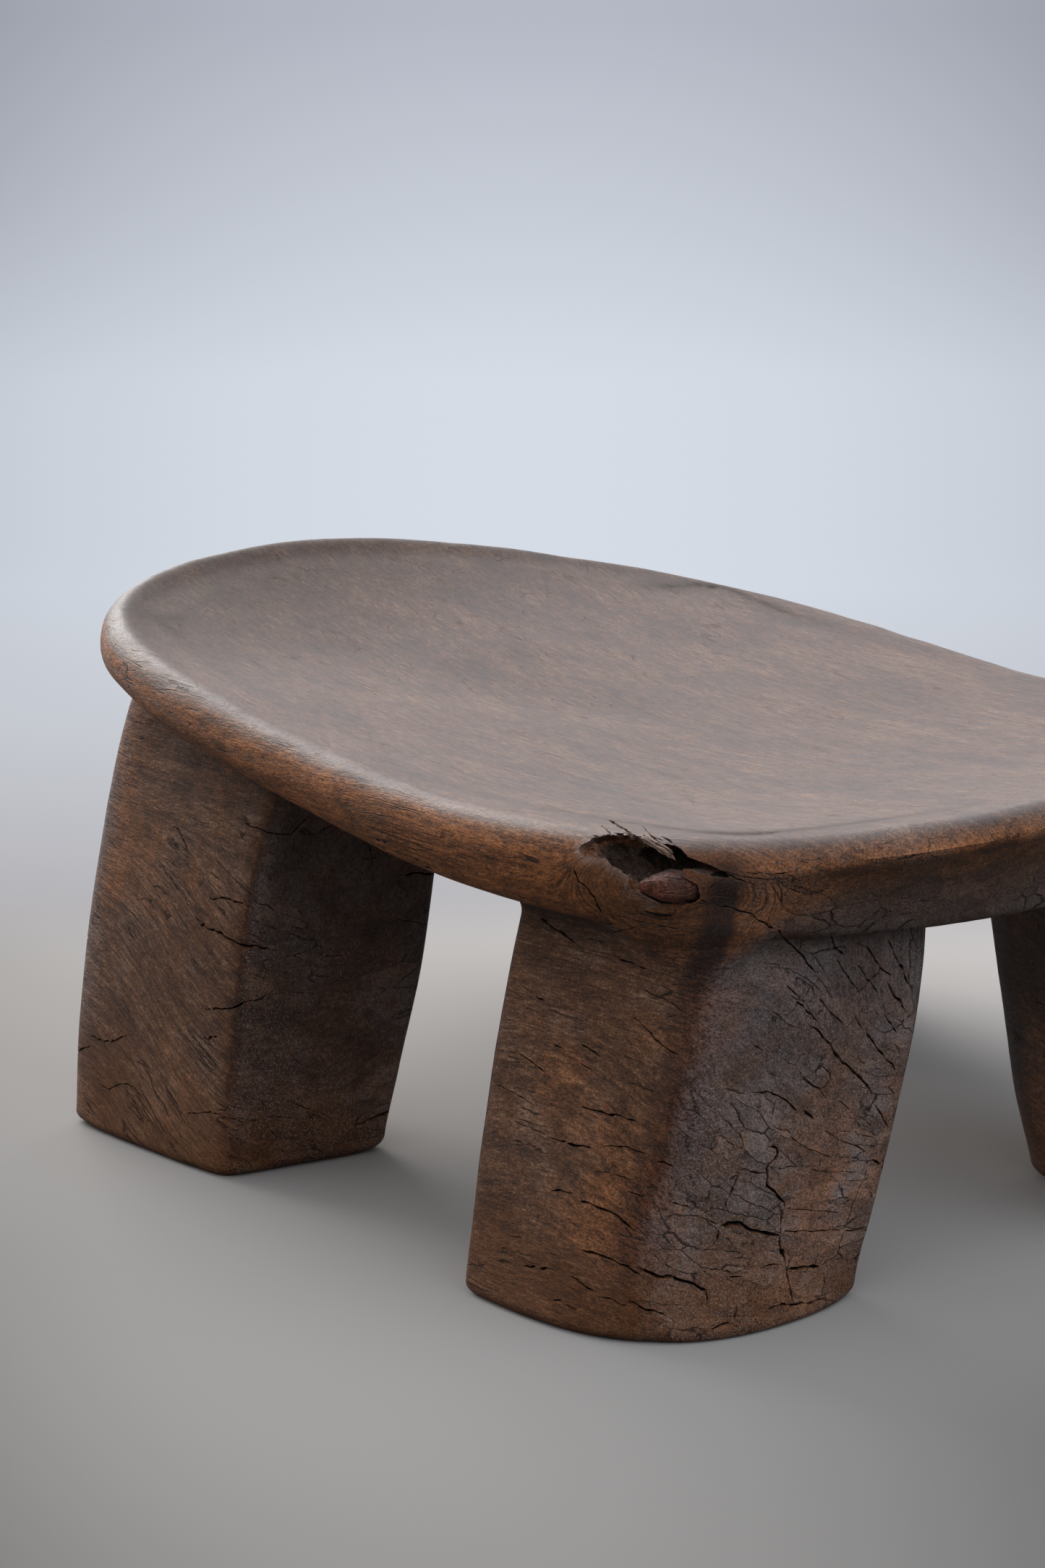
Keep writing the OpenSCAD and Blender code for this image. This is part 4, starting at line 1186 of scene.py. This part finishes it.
def make_leg(name, seat):
    """A tube of rings, shaped to the leg's faces and to its carved blend with the seat."""
    leg = Leg(name)
    clear_selection()
    bpy.ops.mesh.primitive_cylinder_add(
        vertices=leg.sides, radius=1, depth=1, end_fill_type="NGON", location=(0, 0, 0.5)
    )
    piece = bpy.context.object
    bpy.ops.object.transform_apply(location=True, rotation=True, scale=True)
    bpy.ops.object.mode_set(mode="EDIT")
    bpy.ops.mesh.select_all(action="DESELECT")
    mesh = bmesh.from_edit_mesh(piece.data)
    for e in mesh.edges:
        e.select = abs(e.verts[0].co.z - e.verts[1].co.z) > 0.5
    bmesh.update_edit_mesh(piece.data)
    bpy.ops.mesh.subdivide_edgering(number_cuts=leg.rows - 1, smoothness=0)
    for low in (True, False):
        bpy.ops.mesh.select_all(action="DESELECT")
        mesh = bmesh.from_edit_mesh(piece.data)
        for f in mesh.faces:
            if len(f.verts) > 4 and (f.calc_center_median().z < 0.5) == low:
                f.select = True
        bmesh.update_edit_mesh(piece.data)
        for inset in (0.06, 0.10, 0.16, 0.20):
            bpy.ops.mesh.inset(thickness=inset, use_even_offset=False)
        bpy.ops.mesh.poke()
    bpy.ops.object.mode_set(mode="OBJECT")

    raw = read_points(piece)
    angle = np.arctan2(raw[:, 1], raw[:, 0]) / TAU % 1
    share = np.clip(np.hypot(raw[:, 0], raw[:, 1]), 0, 1)
    height = np.clip(raw[:, 2], 0, 1)

    # ways out of the leg's middle, spread evenly along its outline
    c = leg.corners(np.full(1, 0.06))[0]
    loop = np.concatenate([c, c[:1]])
    step = np.linalg.norm(np.diff(loop, axis=0), axis=1)
    along = np.concatenate([[0], np.cumsum(step)]) / step.sum()

    def ways_at(turn):
        spot = np.stack([np.interp(turn, along, loop[:, j]) for j in (0, 1)], -1) - c.mean(0)
        spot /= np.linalg.norm(spot, axis=1)[:, None]
        return np.concatenate([spot, np.zeros((len(spot), 1))], 1)

    # height at which each way meets the seat
    turns = np.arange(leg.sides) / leg.sides
    scan = np.arange(*SCAN) * MM
    grid = leg.skin(np.repeat(scan, leg.sides), np.tile(ways_at(turns), (len(scan), 1)))
    gap = seat.distance(grid).reshape(len(scan), leg.sides)
    first = np.maximum((gap < 0).argmax(0), 1)
    pick = np.arange(leg.sides)
    before, after = gap[first - 1, pick], gap[first, pick]
    meets = scan[first - 1] + SCAN[2] * MM * np.clip(before / (before - after), 0, 1)
    top = meets[np.round(angle * leg.sides).astype(int) % leg.sides]
    out = ways_at(angle)

    worn = 3.6 * MM * (1 + 0.4 * wave(np.stack([angle * 9, angle * 0, angle * 0], -1), 1.0, 11))
    rows = height * leg.rows
    last = leg.rows - TUCK_ROWS
    arc = np.clip(rows / FOOT_ROWS, 0, 1) * math.pi / 2
    rest = np.clip((rows - FOOT_ROWS) / (last - FOOT_ROWS), 0, 1)
    more = np.clip(rows - last, 0, TUCK_ROWS) * 2.2 * MM
    low = rows <= FOOT_ROWS
    z = np.where(low, worn * (1 - np.cos(arc)), worn + (top + 1 * MM - worn) * rest + more)
    edge = leg.skin(z, out, np.where(low, worn * (1 - np.sin(arc)), 0))
    middle = leg.corners(z).mean(1)
    inner = np.concatenate([middle + (edge[:, :2] - middle) * share[:, None], z[:, None]], 1)
    skin = share > 0.999
    points = np.where(skin[:, None], edge, inner)
    points[:, 2] = np.where(z > top, np.minimum(z, seat.ceiling(points) - 8 * MM), z)

    near = np.nonzero(skin & (z > top - 26 * MM) & (z < top + 0.5 * MM))[0]
    sunk = seam_sink(seat.distance(points[near]), leg.blends(points[near]))
    points[near] += out[near] * march(points[near], out[near], seat, leg, sunk)[:, None]
    write_points(piece, points)
    fade = smooth((z - 0.5 * MM) / (6 * MM)) * skin
    points += normals_of(piece) * (hewn(points) * fade)[:, None]
    write_points(piece, points)
    return piece


# Cells along each side of the seat's two grids, rows of cells round its rim, and the turn of
# the grids about the vertical.
SEAT_CELLS, RIM_ROWS, GRID_TURN = 149, 42, math.radians(42)


def make_seat(seat, legs):
    """Two grids bridged by the rim, shaped to the dish, the lip and the underside."""
    clear_selection()
    for high in (True, False):
        bpy.ops.mesh.primitive_grid_add(
            x_subdivisions=SEAT_CELLS,
            y_subdivisions=SEAT_CELLS,
            size=2,
            location=(0, 0, 1 if high else 0),
        )
        if high:
            top = bpy.context.object
    low = bpy.context.object
    low.select_set(True)
    top.select_set(True)
    bpy.ops.object.transform_apply(location=True, rotation=True, scale=True)
    change_all(low, bpy.ops.mesh.flip_normals)
    top.select_set(True)
    bpy.context.view_layer.objects.active = top
    bpy.ops.object.join()
    piece = bpy.context.object
    bpy.ops.object.mode_set(mode="EDIT")
    bpy.ops.mesh.select_all(action="DESELECT")
    mesh = bmesh.from_edit_mesh(piece.data)
    for e in mesh.edges:
        e.select = e.is_boundary
    bmesh.update_edit_mesh(piece.data)
    bpy.ops.mesh.bridge_edge_loops(number_cuts=RIM_ROWS, interpolation="LINEAR")
    bpy.ops.mesh.select_all(action="SELECT")
    bpy.ops.mesh.normals_make_consistent(inside=False)
    bpy.ops.object.mode_set(mode="OBJECT")

    raw = read_points(piece)
    # closer cells towards the front corner, where the knot is
    a = (raw[:, :2] + 1) / 2
    a = a * 0.55 + a * a * 0.45
    a = a * 2 - 1
    way = np.arctan2(a[:, 1], a[:, 0]) + GRID_TURN
    part = np.abs(a).max(1)
    r = seat.outline(way)
    height = raw[:, 2]
    is_top = height > 1 - 1e-6
    is_low = height < 1e-6
    rim = ~(is_top | is_low)
    points = np.empty_like(raw)
    # the grids shrink evenly towards the middle, and their edges are the rim's own
    for pick, reach, level in (
        (is_top, RIM_TOP, seat.dish),
        (is_low, RIM_LOW, seat.under),
    ):
        q = part * (1 - reach / r)
        at = np.stack(
            [
                seat.middle[0] + r * q * np.cos(way),
                seat.middle[1] + r * q * np.sin(way),
                level(way, q),
            ],
            -1,
        )
        points = np.where(pick[:, None], at, points)
    around = seat.rim_point(way, np.clip(1 - height, 0, 1))
    points = np.where(rim[:, None], around, points)
    write_points(piece, points)

    normals = normals_of(piece)
    for leg in legs:
        near = np.nonzero(~is_top & (height < 0.85))[0]
        gap = leg.distance(points[near])
        near = near[(gap < 20 * MM) & (gap > -0.5 * MM)]
        if not len(near):
            continue
        sunk = seam_sink(leg.distance(points[near]), leg.blends(points[near]))
        moved = march(points[near], normals[near], seat, leg, sunk)
        points[near] += normals[near] * moved[:, None]
    write_points(piece, points)
    points += normals_of(piece) * (hewn(points) * np.where(is_top, 0.6, 1))[:, None]
    write_points(piece, points)
    return piece


class Value:
    """A shader socket that can be used in sums."""

    def __init__(self, shader, socket):
        self.shader = shader
        self.socket = socket

    def math(self, operation, a, b):
        return self.shader.node("ShaderNodeMath", {"operation": operation}, {0: a, 1: b})

    def __add__(self, other):
        return self.math("ADD", self, other)

    __radd__ = __add__

    def __sub__(self, other):
        return self.math("SUBTRACT", self, other)

    def __rsub__(self, other):
        return self.math("SUBTRACT", other, self)

    def __mul__(self, other):
        return self.math("MULTIPLY", self, other)

    __rmul__ = __mul__

    def __truediv__(self, other):
        return self.math("DIVIDE", self, other)

    def __rtruediv__(self, other):
        return self.math("DIVIDE", other, self)


class Shader:
    """A material's nodes, made one at a time."""

    def __init__(self, owner):
        owner.use_nodes = True
        self.tree = owner.node_tree
        self.tree.nodes.clear()

    def node(self, kind, settings=None, inputs=None, output=0):
        node = self.tree.nodes.new(kind)
        for name, value in (settings or {}).items():
            if name == "stops":
                ramp = node.color_ramp
                while len(ramp.elements) < len(value):
                    ramp.elements.new(0.5)
                for element, (place, color) in zip(ramp.elements, value):
                    element.position = place
                    element.color = (*color, 1)
            else:
                setattr(node, name, value)
        for name, value in (inputs or {}).items():
            if isinstance(value, Value):
                self.tree.links.new(value.socket, node.inputs[name])
            else:
                node.inputs[name].default_value = value
        return Value(self, node.outputs[output]) if node.outputs else None

    def attribute(self, name, output=2):
        return self.node("ShaderNodeAttribute", {"attribute_name": name}, output=output)

    def place(self):
        return self.node("ShaderNodeTexCoord", output=3)

    def axis(self, vector, number):
        return self.node("ShaderNodeSeparateXYZ", {}, {0: vector}, number)

    def math_max(self, a, b):
        return self.node("ShaderNodeMath", {"operation": "MAXIMUM"}, {0: a, 1: b})

    def stretch(self, vector, sizes):
        return self.node("ShaderNodeVectorMath", {"operation": "MULTIPLY"}, {0: vector, 1: sizes})

    def scaled(self, vector, size):
        return self.node("ShaderNodeVectorMath", {"operation": "SCALE"}, {0: vector, "Scale": size})

    def pushed(self, vector, push, share):
        """A vector pushed about by a share of another."""
        inputs = {0: vector, 1: self.scaled(push, share)}
        return self.node("ShaderNodeVectorMath", {"operation": "ADD"}, inputs)

    def noise(self, vector, scale=1.0, detail=3.0, rough=0.55, warp=0.0, output=0):
        inputs = {0: vector, "Scale": scale, "Detail": detail, "Roughness": rough}
        return self.node("ShaderNodeTexNoise", {}, {**inputs, "Distortion": warp}, output)

    def cells(self, vector, feature="F1", output=0):
        inputs = {0: vector, "Scale": 1.0}
        return self.node("ShaderNodeTexVoronoi", {"feature": feature}, inputs, output)

    def band(self, value, low, high, start=0.0, end=1.0):
        inputs = {0: value, 1: low, 2: high, 3: start, 4: end}
        return self.node("ShaderNodeMapRange", {"interpolation_type": "SMOOTHSTEP"}, inputs)

    def mix(self, share, a, b, blend="MIX"):
        ends = [(*c, 1) if isinstance(c, tuple) else c for c in (a, b)]
        inputs = {0: share, 6: ends[0], 7: ends[1]}
        return self.node("ShaderNodeMix", {"data_type": "RGBA", "blend_type": blend}, inputs, 2)

    def ramp(self, value, *stops):
        return self.node("ShaderNodeValToRGB", {"stops": stops}, {0: value})

    def shades(self, value, color, *shares):
        """A ramp between darker and lighter shades of one colour."""
        return self.ramp(value, *((place, shade_of(color, share)) for place, share in shares))


def shade_of(color, share):
    return tuple(v * share for v in color)


# Repeats per metre of the wood's patterns along the fibres, across them and through the layers.
STREAKS, GRAINS, FIBRES = (14, 85, 250), (170, 620, 820), (560, 2300, 2500)
PORES, NET, CHECKS = (260, 1350, 1350), (34, 75, 210), (16, 210, 330)
# Fixed colours of what lies on the wood, of what shows where it is worn, open or torn, and of the painted sheen,
# highlight and shade.
WORN_AND_SHADE_DARK, WORN_AND_SHADE_RED = (0.05, 0.015, 0.008), (0.15, 0.046, 0.013)
COOL_SHEEN, RIDGE_SHEEN = (0.24, 0.2, 0.2), (0.28, 0.22, 0.22)
FOOT_PALE, DUST_AND_SHEEN, SPECKS = (0.28, 0.135, 0.058), (0.165, 0.163, 0.176), (0.42, 0.37, 0.355)
PORE, HAIRLINE, CRACK_SHADE = (0.022, 0.01, 0.006), (0.018, 0.009, 0.006), (0.008, 0.005, 0.003)
CREASE_DIRT_AND_SHADE, SHADE_DARK = (0.02, 0.011, 0.007), (0.042, 0.021, 0.012)
TORN_AND_SHADE = ((0.3, (0.006, 0.004, 0.003)), (0.52, (0.026, 0.015, 0.010)), (0.8, (0.13, 0.08, 0.058)))
LIP = ((0.3, (0.16, 0.08, 0.05)), (0.5, (0.4, 0.26, 0.2)), (0.8, (0.6, 0.45, 0.38)))


def wood(name, tone, dark, pale, warm, grey, shine):
    """Old oiled wood with fibres, pores, hairline checks, worn ridges and cracks, with painted shade, sheen and
    highlights.
    """
    m = bpy.data.materials.new(name)
    s = Shader(m)
    grain = s.attribute("grain", 1)
    names = ("end", "wear", "grime", "deep", "hollow", "rim", "lip", "ridge", "stain")
    end, wear, grime, deep, hollow, rim, lip, ridge, stain = (s.attribute(n) for n in names)
    place = s.place()
    height = s.axis(place, 2)
    up = s.axis(s.node("ShaderNodeTexCoord", output=1), 2)
    side = 1 - up

    # the wood's patterns, of about -0.5 to 0.5 where they end in - 0.5
    streak = s.noise(s.stretch(grain, STREAKS), detail=5, rough=0.6, warp=0.2) - 0.5
    grains = s.noise(s.stretch(grain, GRAINS), detail=5, rough=0.75) - 0.5
    fibre = s.noise(s.stretch(grain, FIBRES), detail=2, rough=0.7) - 0.5
    grit = s.noise(s.stretch(place, (1, 1, 1.2)), 1500, 3, 0.8) - 0.5
    dust = s.noise(place, 2400, 1, 0.5) - 0.5
    mottle = s.noise(s.stretch(place, (1, 1, 1.4)), 330, 6, 0.78) - 0.5
    patch = s.noise(place, 24, 5, 0.58, 0.4)
    blot = s.noise(place, 55, 6, 0.62, 0.4)
    where = s.noise(place, 37, 3, 0.6)
    bend = s.noise(place, 260, 3, 0.5, output=1)
    pore = s.cells(s.stretch(grain, PORES))
    net_place = s.pushed(s.stretch(grain, NET), bend, 0.3)
    net = s.cells(net_place, "DISTANCE_TO_EDGE")
    check = s.cells(s.pushed(s.stretch(grain, CHECKS), bend, 0.3), "DISTANCE_TO_EDGE")
    block = s.cells(net_place, output=1) - 0.5

    # the wood itself, warm on the rim and grey on the end grain, with a painted grey sheen on the end grain past the
    # ridge
    fine = (
        grains * (0.95 - end * 0.35)
        + mottle * 0.55
        + grit * (0.85 + end * 0.2)
        + fibre * (0.5 - end * 0.3)
    )
    broad = streak * 0.45 + (patch - 0.5) * 0.3 + (blot - 0.5) * 0.35
    tint = fine + broad + block * end * 0.22 + 0.5
    color = s.ramp(tint, (0.26, dark), (0.42, shade_of(tone, 0.62)), (0.56, tone), (0.82, pale))
    warmer = s.shades(tint, warm, (0.28, 0.16), (0.5, 0.72), (0.78, 1.8))
    color = s.mix(s.math_max(s.band(patch, 0.46, 0.64) * 0.6 * side, rim * 0.8), color, warmer)
    past = ridge + (patch - 0.5) * 1.4 + (blot - 0.5) * 1.2
    right = s.band(past, -0.2, 0.9)
    greyer = s.shades(tint, grey, (0.28, 0.3), (0.5, 0.85), (0.8, 2.1))
    # weathered grey in patches, and a painted sheen on the end grain past the ridge
    grey_and_sheen = s.band(blot, 0.46, 0.62) * (0.22 + end * 0.35) + end * right * 0.32
    color = s.mix(grey_and_sheen * (1 - rim) * side, color, greyer)

    # wear on the crest and the ridges, with painted shade in a dark band before the ridge, and painted sheen and a
    # painted highlight past it
    worn = s.band(wear + (blot - 0.5) * 0.8, 0.25, 0.85)
    # the worn colour, which also colours the painted shade before the ridge
    glow = patch * 0.7 + fine * 0.6 + 0.15
    glow = s.ramp(glow, (0.38, shade_of(dark, 0.6)), (0.5, WORN_AND_SHADE_DARK), (0.64, WORN_AND_SHADE_RED))
    # painted shade: a dark band just before the leg's outer ridge
    painted_shade_band = s.band(past, -1.9, -0.8) * s.band(past, 0.3, -0.3) * side
    color = s.mix(s.math_max(worn * side * 0.7, painted_shade_band * 0.92), color, glow)
    plain = side * (1 - rim)
    # painted sheen: a cool pale reflection on the end grain past the ridge
    cool = end * right * s.band(height, 0.05, 0.095) * s.band(fine, -0.3, 0.25) * plain
    color = s.mix(cool * 0.5, color, COOL_SHEEN)
    # painted highlight: a pale glint along the ridge
    glint = s.band(past, -0.5, 0.1) * s.band(past, 1.3, 0.4) * s.band(fine, -0.12, 0.12) * plain
    color = s.mix(glint * 0.42, color, RIDGE_SHEEN)

    # browner feet, dust with a painted grey sheen on the dish's top, and pale specks on the end grain
    foot = s.band(height + (patch - 0.5) * 0.07, 0.034, 0.008) * 0.8
    browner = ((0.25, shade_of(warm, 0.2)), (0.5, shade_of(warm, 0.40)), (0.8, FOOT_PALE))
    color = s.mix(foot, color, s.ramp(tint, *browner))
    # dust, with a painted grey sheen on the top faces of the dish
    dust_and_sheen = s.band(up, 0.6, 0.95) * s.band(height, 0.09, 0.1)
    color = s.mix(dust_and_sheen * 0.85, color, s.mix(0.6, color, DUST_AND_SHEEN))
    speck = s.band(dust, 0.05, 0.18) * s.band(where, 0.40, 0.56)
    color = s.mix(speck * (0.1 + end * right * 0.5) * side, color, SPECKS)

    # pores, hairlines, dirt, the hollow's torn wood and the walls of the cracks, with painted shade
    dots = s.band(pore, 0.36, 0.18) * s.band(where, 0.64, 0.45) * (0.3 + end * 0.7)
    broken = s.band(mottle + blot - 0.5, -0.02, 0.08)
    hair = s.band(net, 0.038, 0.007) * end * s.band(where, 0.42, 0.54) * broken
    long_hair = s.band(check, 0.045, 0.008) * (1 - end) * s.band(blot, 0.5, 0.6) * broken
    lines = s.math_max(hair, long_hair) * (1 - up * 0.75)
    color = s.mix(dots * (0.35 + foot * 1.1), color, PORE)
    color = s.mix(lines * 0.9, color, HAIRLINE)
    # dirt with painted shade in the crease where each leg meets the seat
    color = s.mix(grime * s.band(mottle, -0.1, 0.1, 0.95, 0.6), color, CREASE_DIRT_AND_SHADE)
    # painted shade on the right rim, on the dish's far left and on the faces turned in under the seat
    color = s.mix(stain * s.band(fine, -0.3, 0.3, 1.0, 0.7), color, s.mix(0.8, color, SHADE_DARK))
    # the hollow's torn wood, darkened with depth as painted shade
    color = s.mix(s.band(hollow, 0, 0.35) * 0.92, color, s.ramp(fibre + grains * 0.6 + 0.5, *TORN_AND_SHADE))
    color = s.mix(lip * 0.9, color, s.ramp(tint, *LIP))
    # the walls of the cracks, painted dark with depth as shade
    color = s.mix(s.band(deep, 0.0, 0.5), color, CRACK_SHADE)

    rough = (
        0.60
        - shine
        + mottle * 0.6
        + grit * 0.4
        - worn * 0.22
        - s.band(past, -1.6, -0.4) * s.band(past, 1.4, 0.3) * side * 0.2
        + deep * 0.4
        + hollow * 0.3
        + lines * 0.3
        + foot * 0.15
    )
    calm = 1 - s.math_max(worn, up) * 0.65
    relief = (
        mottle * 0.55 * calm
        + grains * 0.4 * calm
        + streak * 0.35
        + fibre * (0.16 - end * 0.1 + hollow * 0.4) * calm
        + grit * (0.12 + end * 0.05) * calm
        - dots * 0.14
        - lines * 0.3
    )
    bump = s.node("ShaderNodeBump", {}, {"Strength": 1.0, "Distance": 1 * MM, "Height": relief})
    inputs = {"Base Color": color, "Roughness": rough, "Normal": bump, "IOR": 1.42}
    s.node("ShaderNodeOutputMaterial", {}, {0: s.node("ShaderNodeBsdfPrincipled", {}, inputs)})
    return m


def finish_of(slot):
    """The wood of the seat, of the legs or of the dead knot."""
    t = bpy.context.scene.stool_wood
    if slot == "knot_wood":
        tone, pale, warm, shine = t.knot, t.knot_pale, t.knot_warm, 0.24
    else:
        tone, pale, warm, shine = t.tone, t.pale, t.warm, 0.0
    colors = (tuple(c) for c in (tone, t.dark, pale, warm, t.grey))
    return wood(slot.replace("_", " "), *colors, shine)


# Faces that meet at less than this angle are shaded smooth.
SMOOTH_ANGLE = math.radians(42)
# The uncut skin of each carved form, as its tree and its points.
SKINS = {}


def keep_skin(name, piece):
    SKINS[name] = (tree_of(piece), read_points(piece))


def complete(piece, name, slot, node):
    """Gives a cut piece its name, its finish and its place in the frame."""
    seat = Seat(bpy.context.scene.stool_seat)
    piece.name = piece.data.name = name + "_carved"
    piece.data.materials.clear()
    piece.data.materials.append(finish_of(slot))
    dress(piece, seat, [Leg(n) for n in LEGS], SKINS[name])
    pick_only(piece)
    bpy.ops.object.shade_smooth_by_angle(angle=SMOOTH_ANGLE)
    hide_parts(node)
    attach(piece, "root")


class STOOL_OT_seat(bpy.types.Operator):
    """Make the dished seat with the weathered hollow in its rim"""

    bl_idname = "stool.seat"
    bl_label = "Seat"

    def execute(self, context):
        seat = Seat(context.scene.stool_seat)
        piece = make_seat(seat, [Leg(n) for n in LEGS])
        keep_skin("seat", piece)
        tree = SKINS["seat"][0]
        cracks = seen_cracks(read_cracks(RIM_CRACKS) + read_cracks(LEG_CRACKS)[:1], [tree], 6)
        cracks += top_cracks(read_cracks(TOP_CRACKS), tree, 7)
        carve_hollow(piece)
        cut_cracks(piece, cracks)
        complete(piece, "seat", "seat_wood", "seat")
        return {"FINISHED"}


# Seeded checks on each of the legs behind.
CHECK_COUNT = 30


class STOOL_OT_legs(bpy.types.Operator):
    """Make the four legs with their drying cracks"""

    bl_idname = "stool.legs"
    bl_label = "Legs"

    def execute(self, context):
        if "seat" not in SKINS:
            raise RuntimeError("The legs are carved after the seat")
        seat = Seat(context.scene.stool_seat)
        for k, name in enumerate(LEGS):
            piece = make_leg(name, seat)
            keep_skin(name, piece)
            tree = SKINS[name][0]
            if name == "front_leg":
                cracks = seen_cracks(read_cracks(LEG_CRACKS), [SKINS["seat"][0], tree], 5)
            else:
                cracks = grown_cracks(Leg(name), tree, CHECK_COUNT, 39 + k)
            cut_cracks(piece, cracks)
            complete(piece, name, "leg_wood", name)
        return {"FINISHED"}


class STOOL_OT_knot(bpy.types.Operator):
    """Make the dead knot in its socket"""

    bl_idname = "stool.knot"
    bl_label = "Knot"

    def execute(self, context):
        piece = make_knot()
        keep_skin("knot", piece)
        complete(piece, "knot", "knot_wood", "rim_knot")
        return {"FINISHED"}


# Side of the floor, the point of it that its shading is laid out from, and the strip across it
# in which it turns into the backdrop.
FLOOR_SIZE = 80
EYE_X, EYE_Y = -0.052, -1.054
WALL_START = (0.17, 0.29)
# Place of the lamp and the point that it faces.
KEY_PLACE, KEY_AIM = (-1.2, 1.7, 1.5), (0, 0, 0.1)


class STOOL_OT_stage(bpy.types.Operator):
    """Make the floor, the backdrop, the lights and the camera"""

    bl_idname = "stool.stage"
    bl_label = "Stage"

    def execute(self, context):
        t = context.scene.stool_stage
        clear_selection()
        bpy.ops.mesh.primitive_plane_add(size=FLOOR_SIZE, location=(0, 0, 0))
        floor = bpy.context.object
        floor.name = "floor"
        floor.data.materials.append(self.ground(t))
        bpy.ops.object.camera_add(
            location=t.camera_place, rotation=(math.pi / 2 - t.camera_dip, 0, 0)
        )
        camera = bpy.context.object
        camera.data.lens = t.lens
        camera.data.sensor_width = 36
        context.scene.camera = camera
        self.lamps(context)
        self.air(context)
        context.scene.view_settings.view_transform = "Standard"
        return {"FINISHED"}

    def ground(self, t):
        """A pale floor with painted shade towards the front and sides, that turns into the backdrop behind the stool,
        brighter in its middle as painted light.
        """
        m = bpy.data.materials.new("floor")
        s = Shader(m)
        x, y = s.axis(s.place(), 0), s.axis(s.place(), 1)
        far = y - EYE_Y
        side = (x - EYE_X) / far
        near_row = 1 / s.math_max(far, 1.0)
        high, mid, low = (tuple(c) for c in (t.wall_high, t.wall_mid, t.wall_low))
        # painted light: the backdrop is brighter in its middle, as a pool of light
        wall = s.ramp(near_row, (0.05, high), (0.33, mid), (0.5, mid), (0.77, low))
        # painted shade: the backdrop and the floor darken to their sides
        drop = s.band(near_row, 0.15, 0.38, 13, 7) - s.band(near_row, 0.45, 0.65, 0, 5)
        fall = 1 - side * side * drop
        lean = side * s.band(y, -0.3, -0.1, 0.0, 1.1)
        corner = 1 - side * side * s.band(y, -0.3, 0.0, 13, 6) + lean
        # painted shade: the floor darkens towards the front
        level = s.math_max(s.band(y, -0.40, -0.05, 0.6, 1.12) * corner, 0.3)
        camera = s.node("ShaderNodeLightPath", output=0)
        glossy = s.node("ShaderNodeLightPath", output=3)
        level = level * (0.42 + camera * 0.58 + glossy * 0.15)
        near = s.node("ShaderNodeBsdfDiffuse", {}, {0: s.scaled(tuple(t.floor_color), level)})
        glow = s.node("ShaderNodeEmission", {}, {0: wall, 1: s.math_max(fall, 0.7)})
        share = s.band(y, *WALL_START) * s.math_max(camera, glossy)
        mixed = s.node("ShaderNodeMixShader", {}, {0: share, 1: near, 2: glow})
        s.node("ShaderNodeOutputMaterial", {}, {0: mixed})
        return m

    def lamps(self, context):
        """One broad soft lamp, behind and to the left."""
        bpy.ops.object.light_add(type="AREA", location=KEY_PLACE)
        key = bpy.context.object
        key.data.size = 1.8
        key.data.energy = context.scene.stool_stage.key_power
        key.data.color = (1.0, 0.97, 0.94)
        way = Vector(KEY_AIM) - key.location
        key.rotation_euler = way.to_track_quat("-Z", "Y").to_euler()

    def air(self, context):
        """Soft light from above and behind, a cool one from the right, and a pale backdrop."""
        t = context.scene.stool_stage
        world = bpy.data.worlds.new("air")
        context.scene.world = world
        s = Shader(world)
        way = s.node("ShaderNodeTexCoord", output=0)
        x, y, z = (s.axis(way, k) for k in range(3))
        above = s.band(z, 0.1, 0.8, 0.0, 1.0)
        behind = s.band(y - x * 0.2, 0.0, 0.9, 0.0, 1.25)
        side = s.band(x * 0.79 - y * 0.51 + z * 0.33, 0.76, 0.98, 0.0, 1.0)
        glow = s.math_max(above, behind) + 0.035
        warmth = s.mix(side, (0.96, 0.98, 1.0), (0.76, 0.87, 1.0))
        power = s.math_max(glow, side * t.side_glow)
        light = s.node("ShaderNodeBackground", {}, {0: warmth, 1: power})
        seen = s.node("ShaderNodeBackground", {}, {0: (*t.air_color, 1), 1: 1.0})
        camera = s.node("ShaderNodeLightPath", output=0)
        both = s.node("ShaderNodeMixShader", {}, {0: camera, 1: light, 2: seen})
        s.node("ShaderNodeOutputWorld", {}, {0: both})


class STOOL_PT_panel(bpy.types.Panel):
    """Lists the stool's makers"""

    bl_label = "Stool"
    bl_idname = "STOOL_PT_panel"
    bl_space_type = "VIEW_3D"
    bl_region_type = "UI"
    bl_category = "Stool"

    def draw(self, context):
        for op in OPERATORS:
            self.layout.operator(op.bl_idname)


SETTINGS = {
    "stool_seat": SeatSettings,
    "stool_knot": KnotSettings,
    "stool_wood": WoodSettings,
    "stool_stage": StageSettings,
}
OPERATORS = (STOOL_OT_stage, STOOL_OT_seat, STOOL_OT_legs, STOOL_OT_knot)
CLASSES = (*SETTINGS.values(), *OPERATORS, STOOL_PT_panel)


def register():
    for c in CLASSES:
        bpy.utils.register_class(c)
    for name, c in SETTINGS.items():
        setattr(bpy.types.Scene, name, bpy.props.PointerProperty(type=c))


def unregister():
    for name in SETTINGS:
        delattr(bpy.types.Scene, name)
    for c in reversed(CLASSES):
        bpy.utils.unregister_class(c)


def main():
    register()
    bpy.ops.stool.stage()
    bpy.ops.stool.seat()
    bpy.ops.stool.legs()
    bpy.ops.stool.knot()


if __name__ == "__main__":
    main()
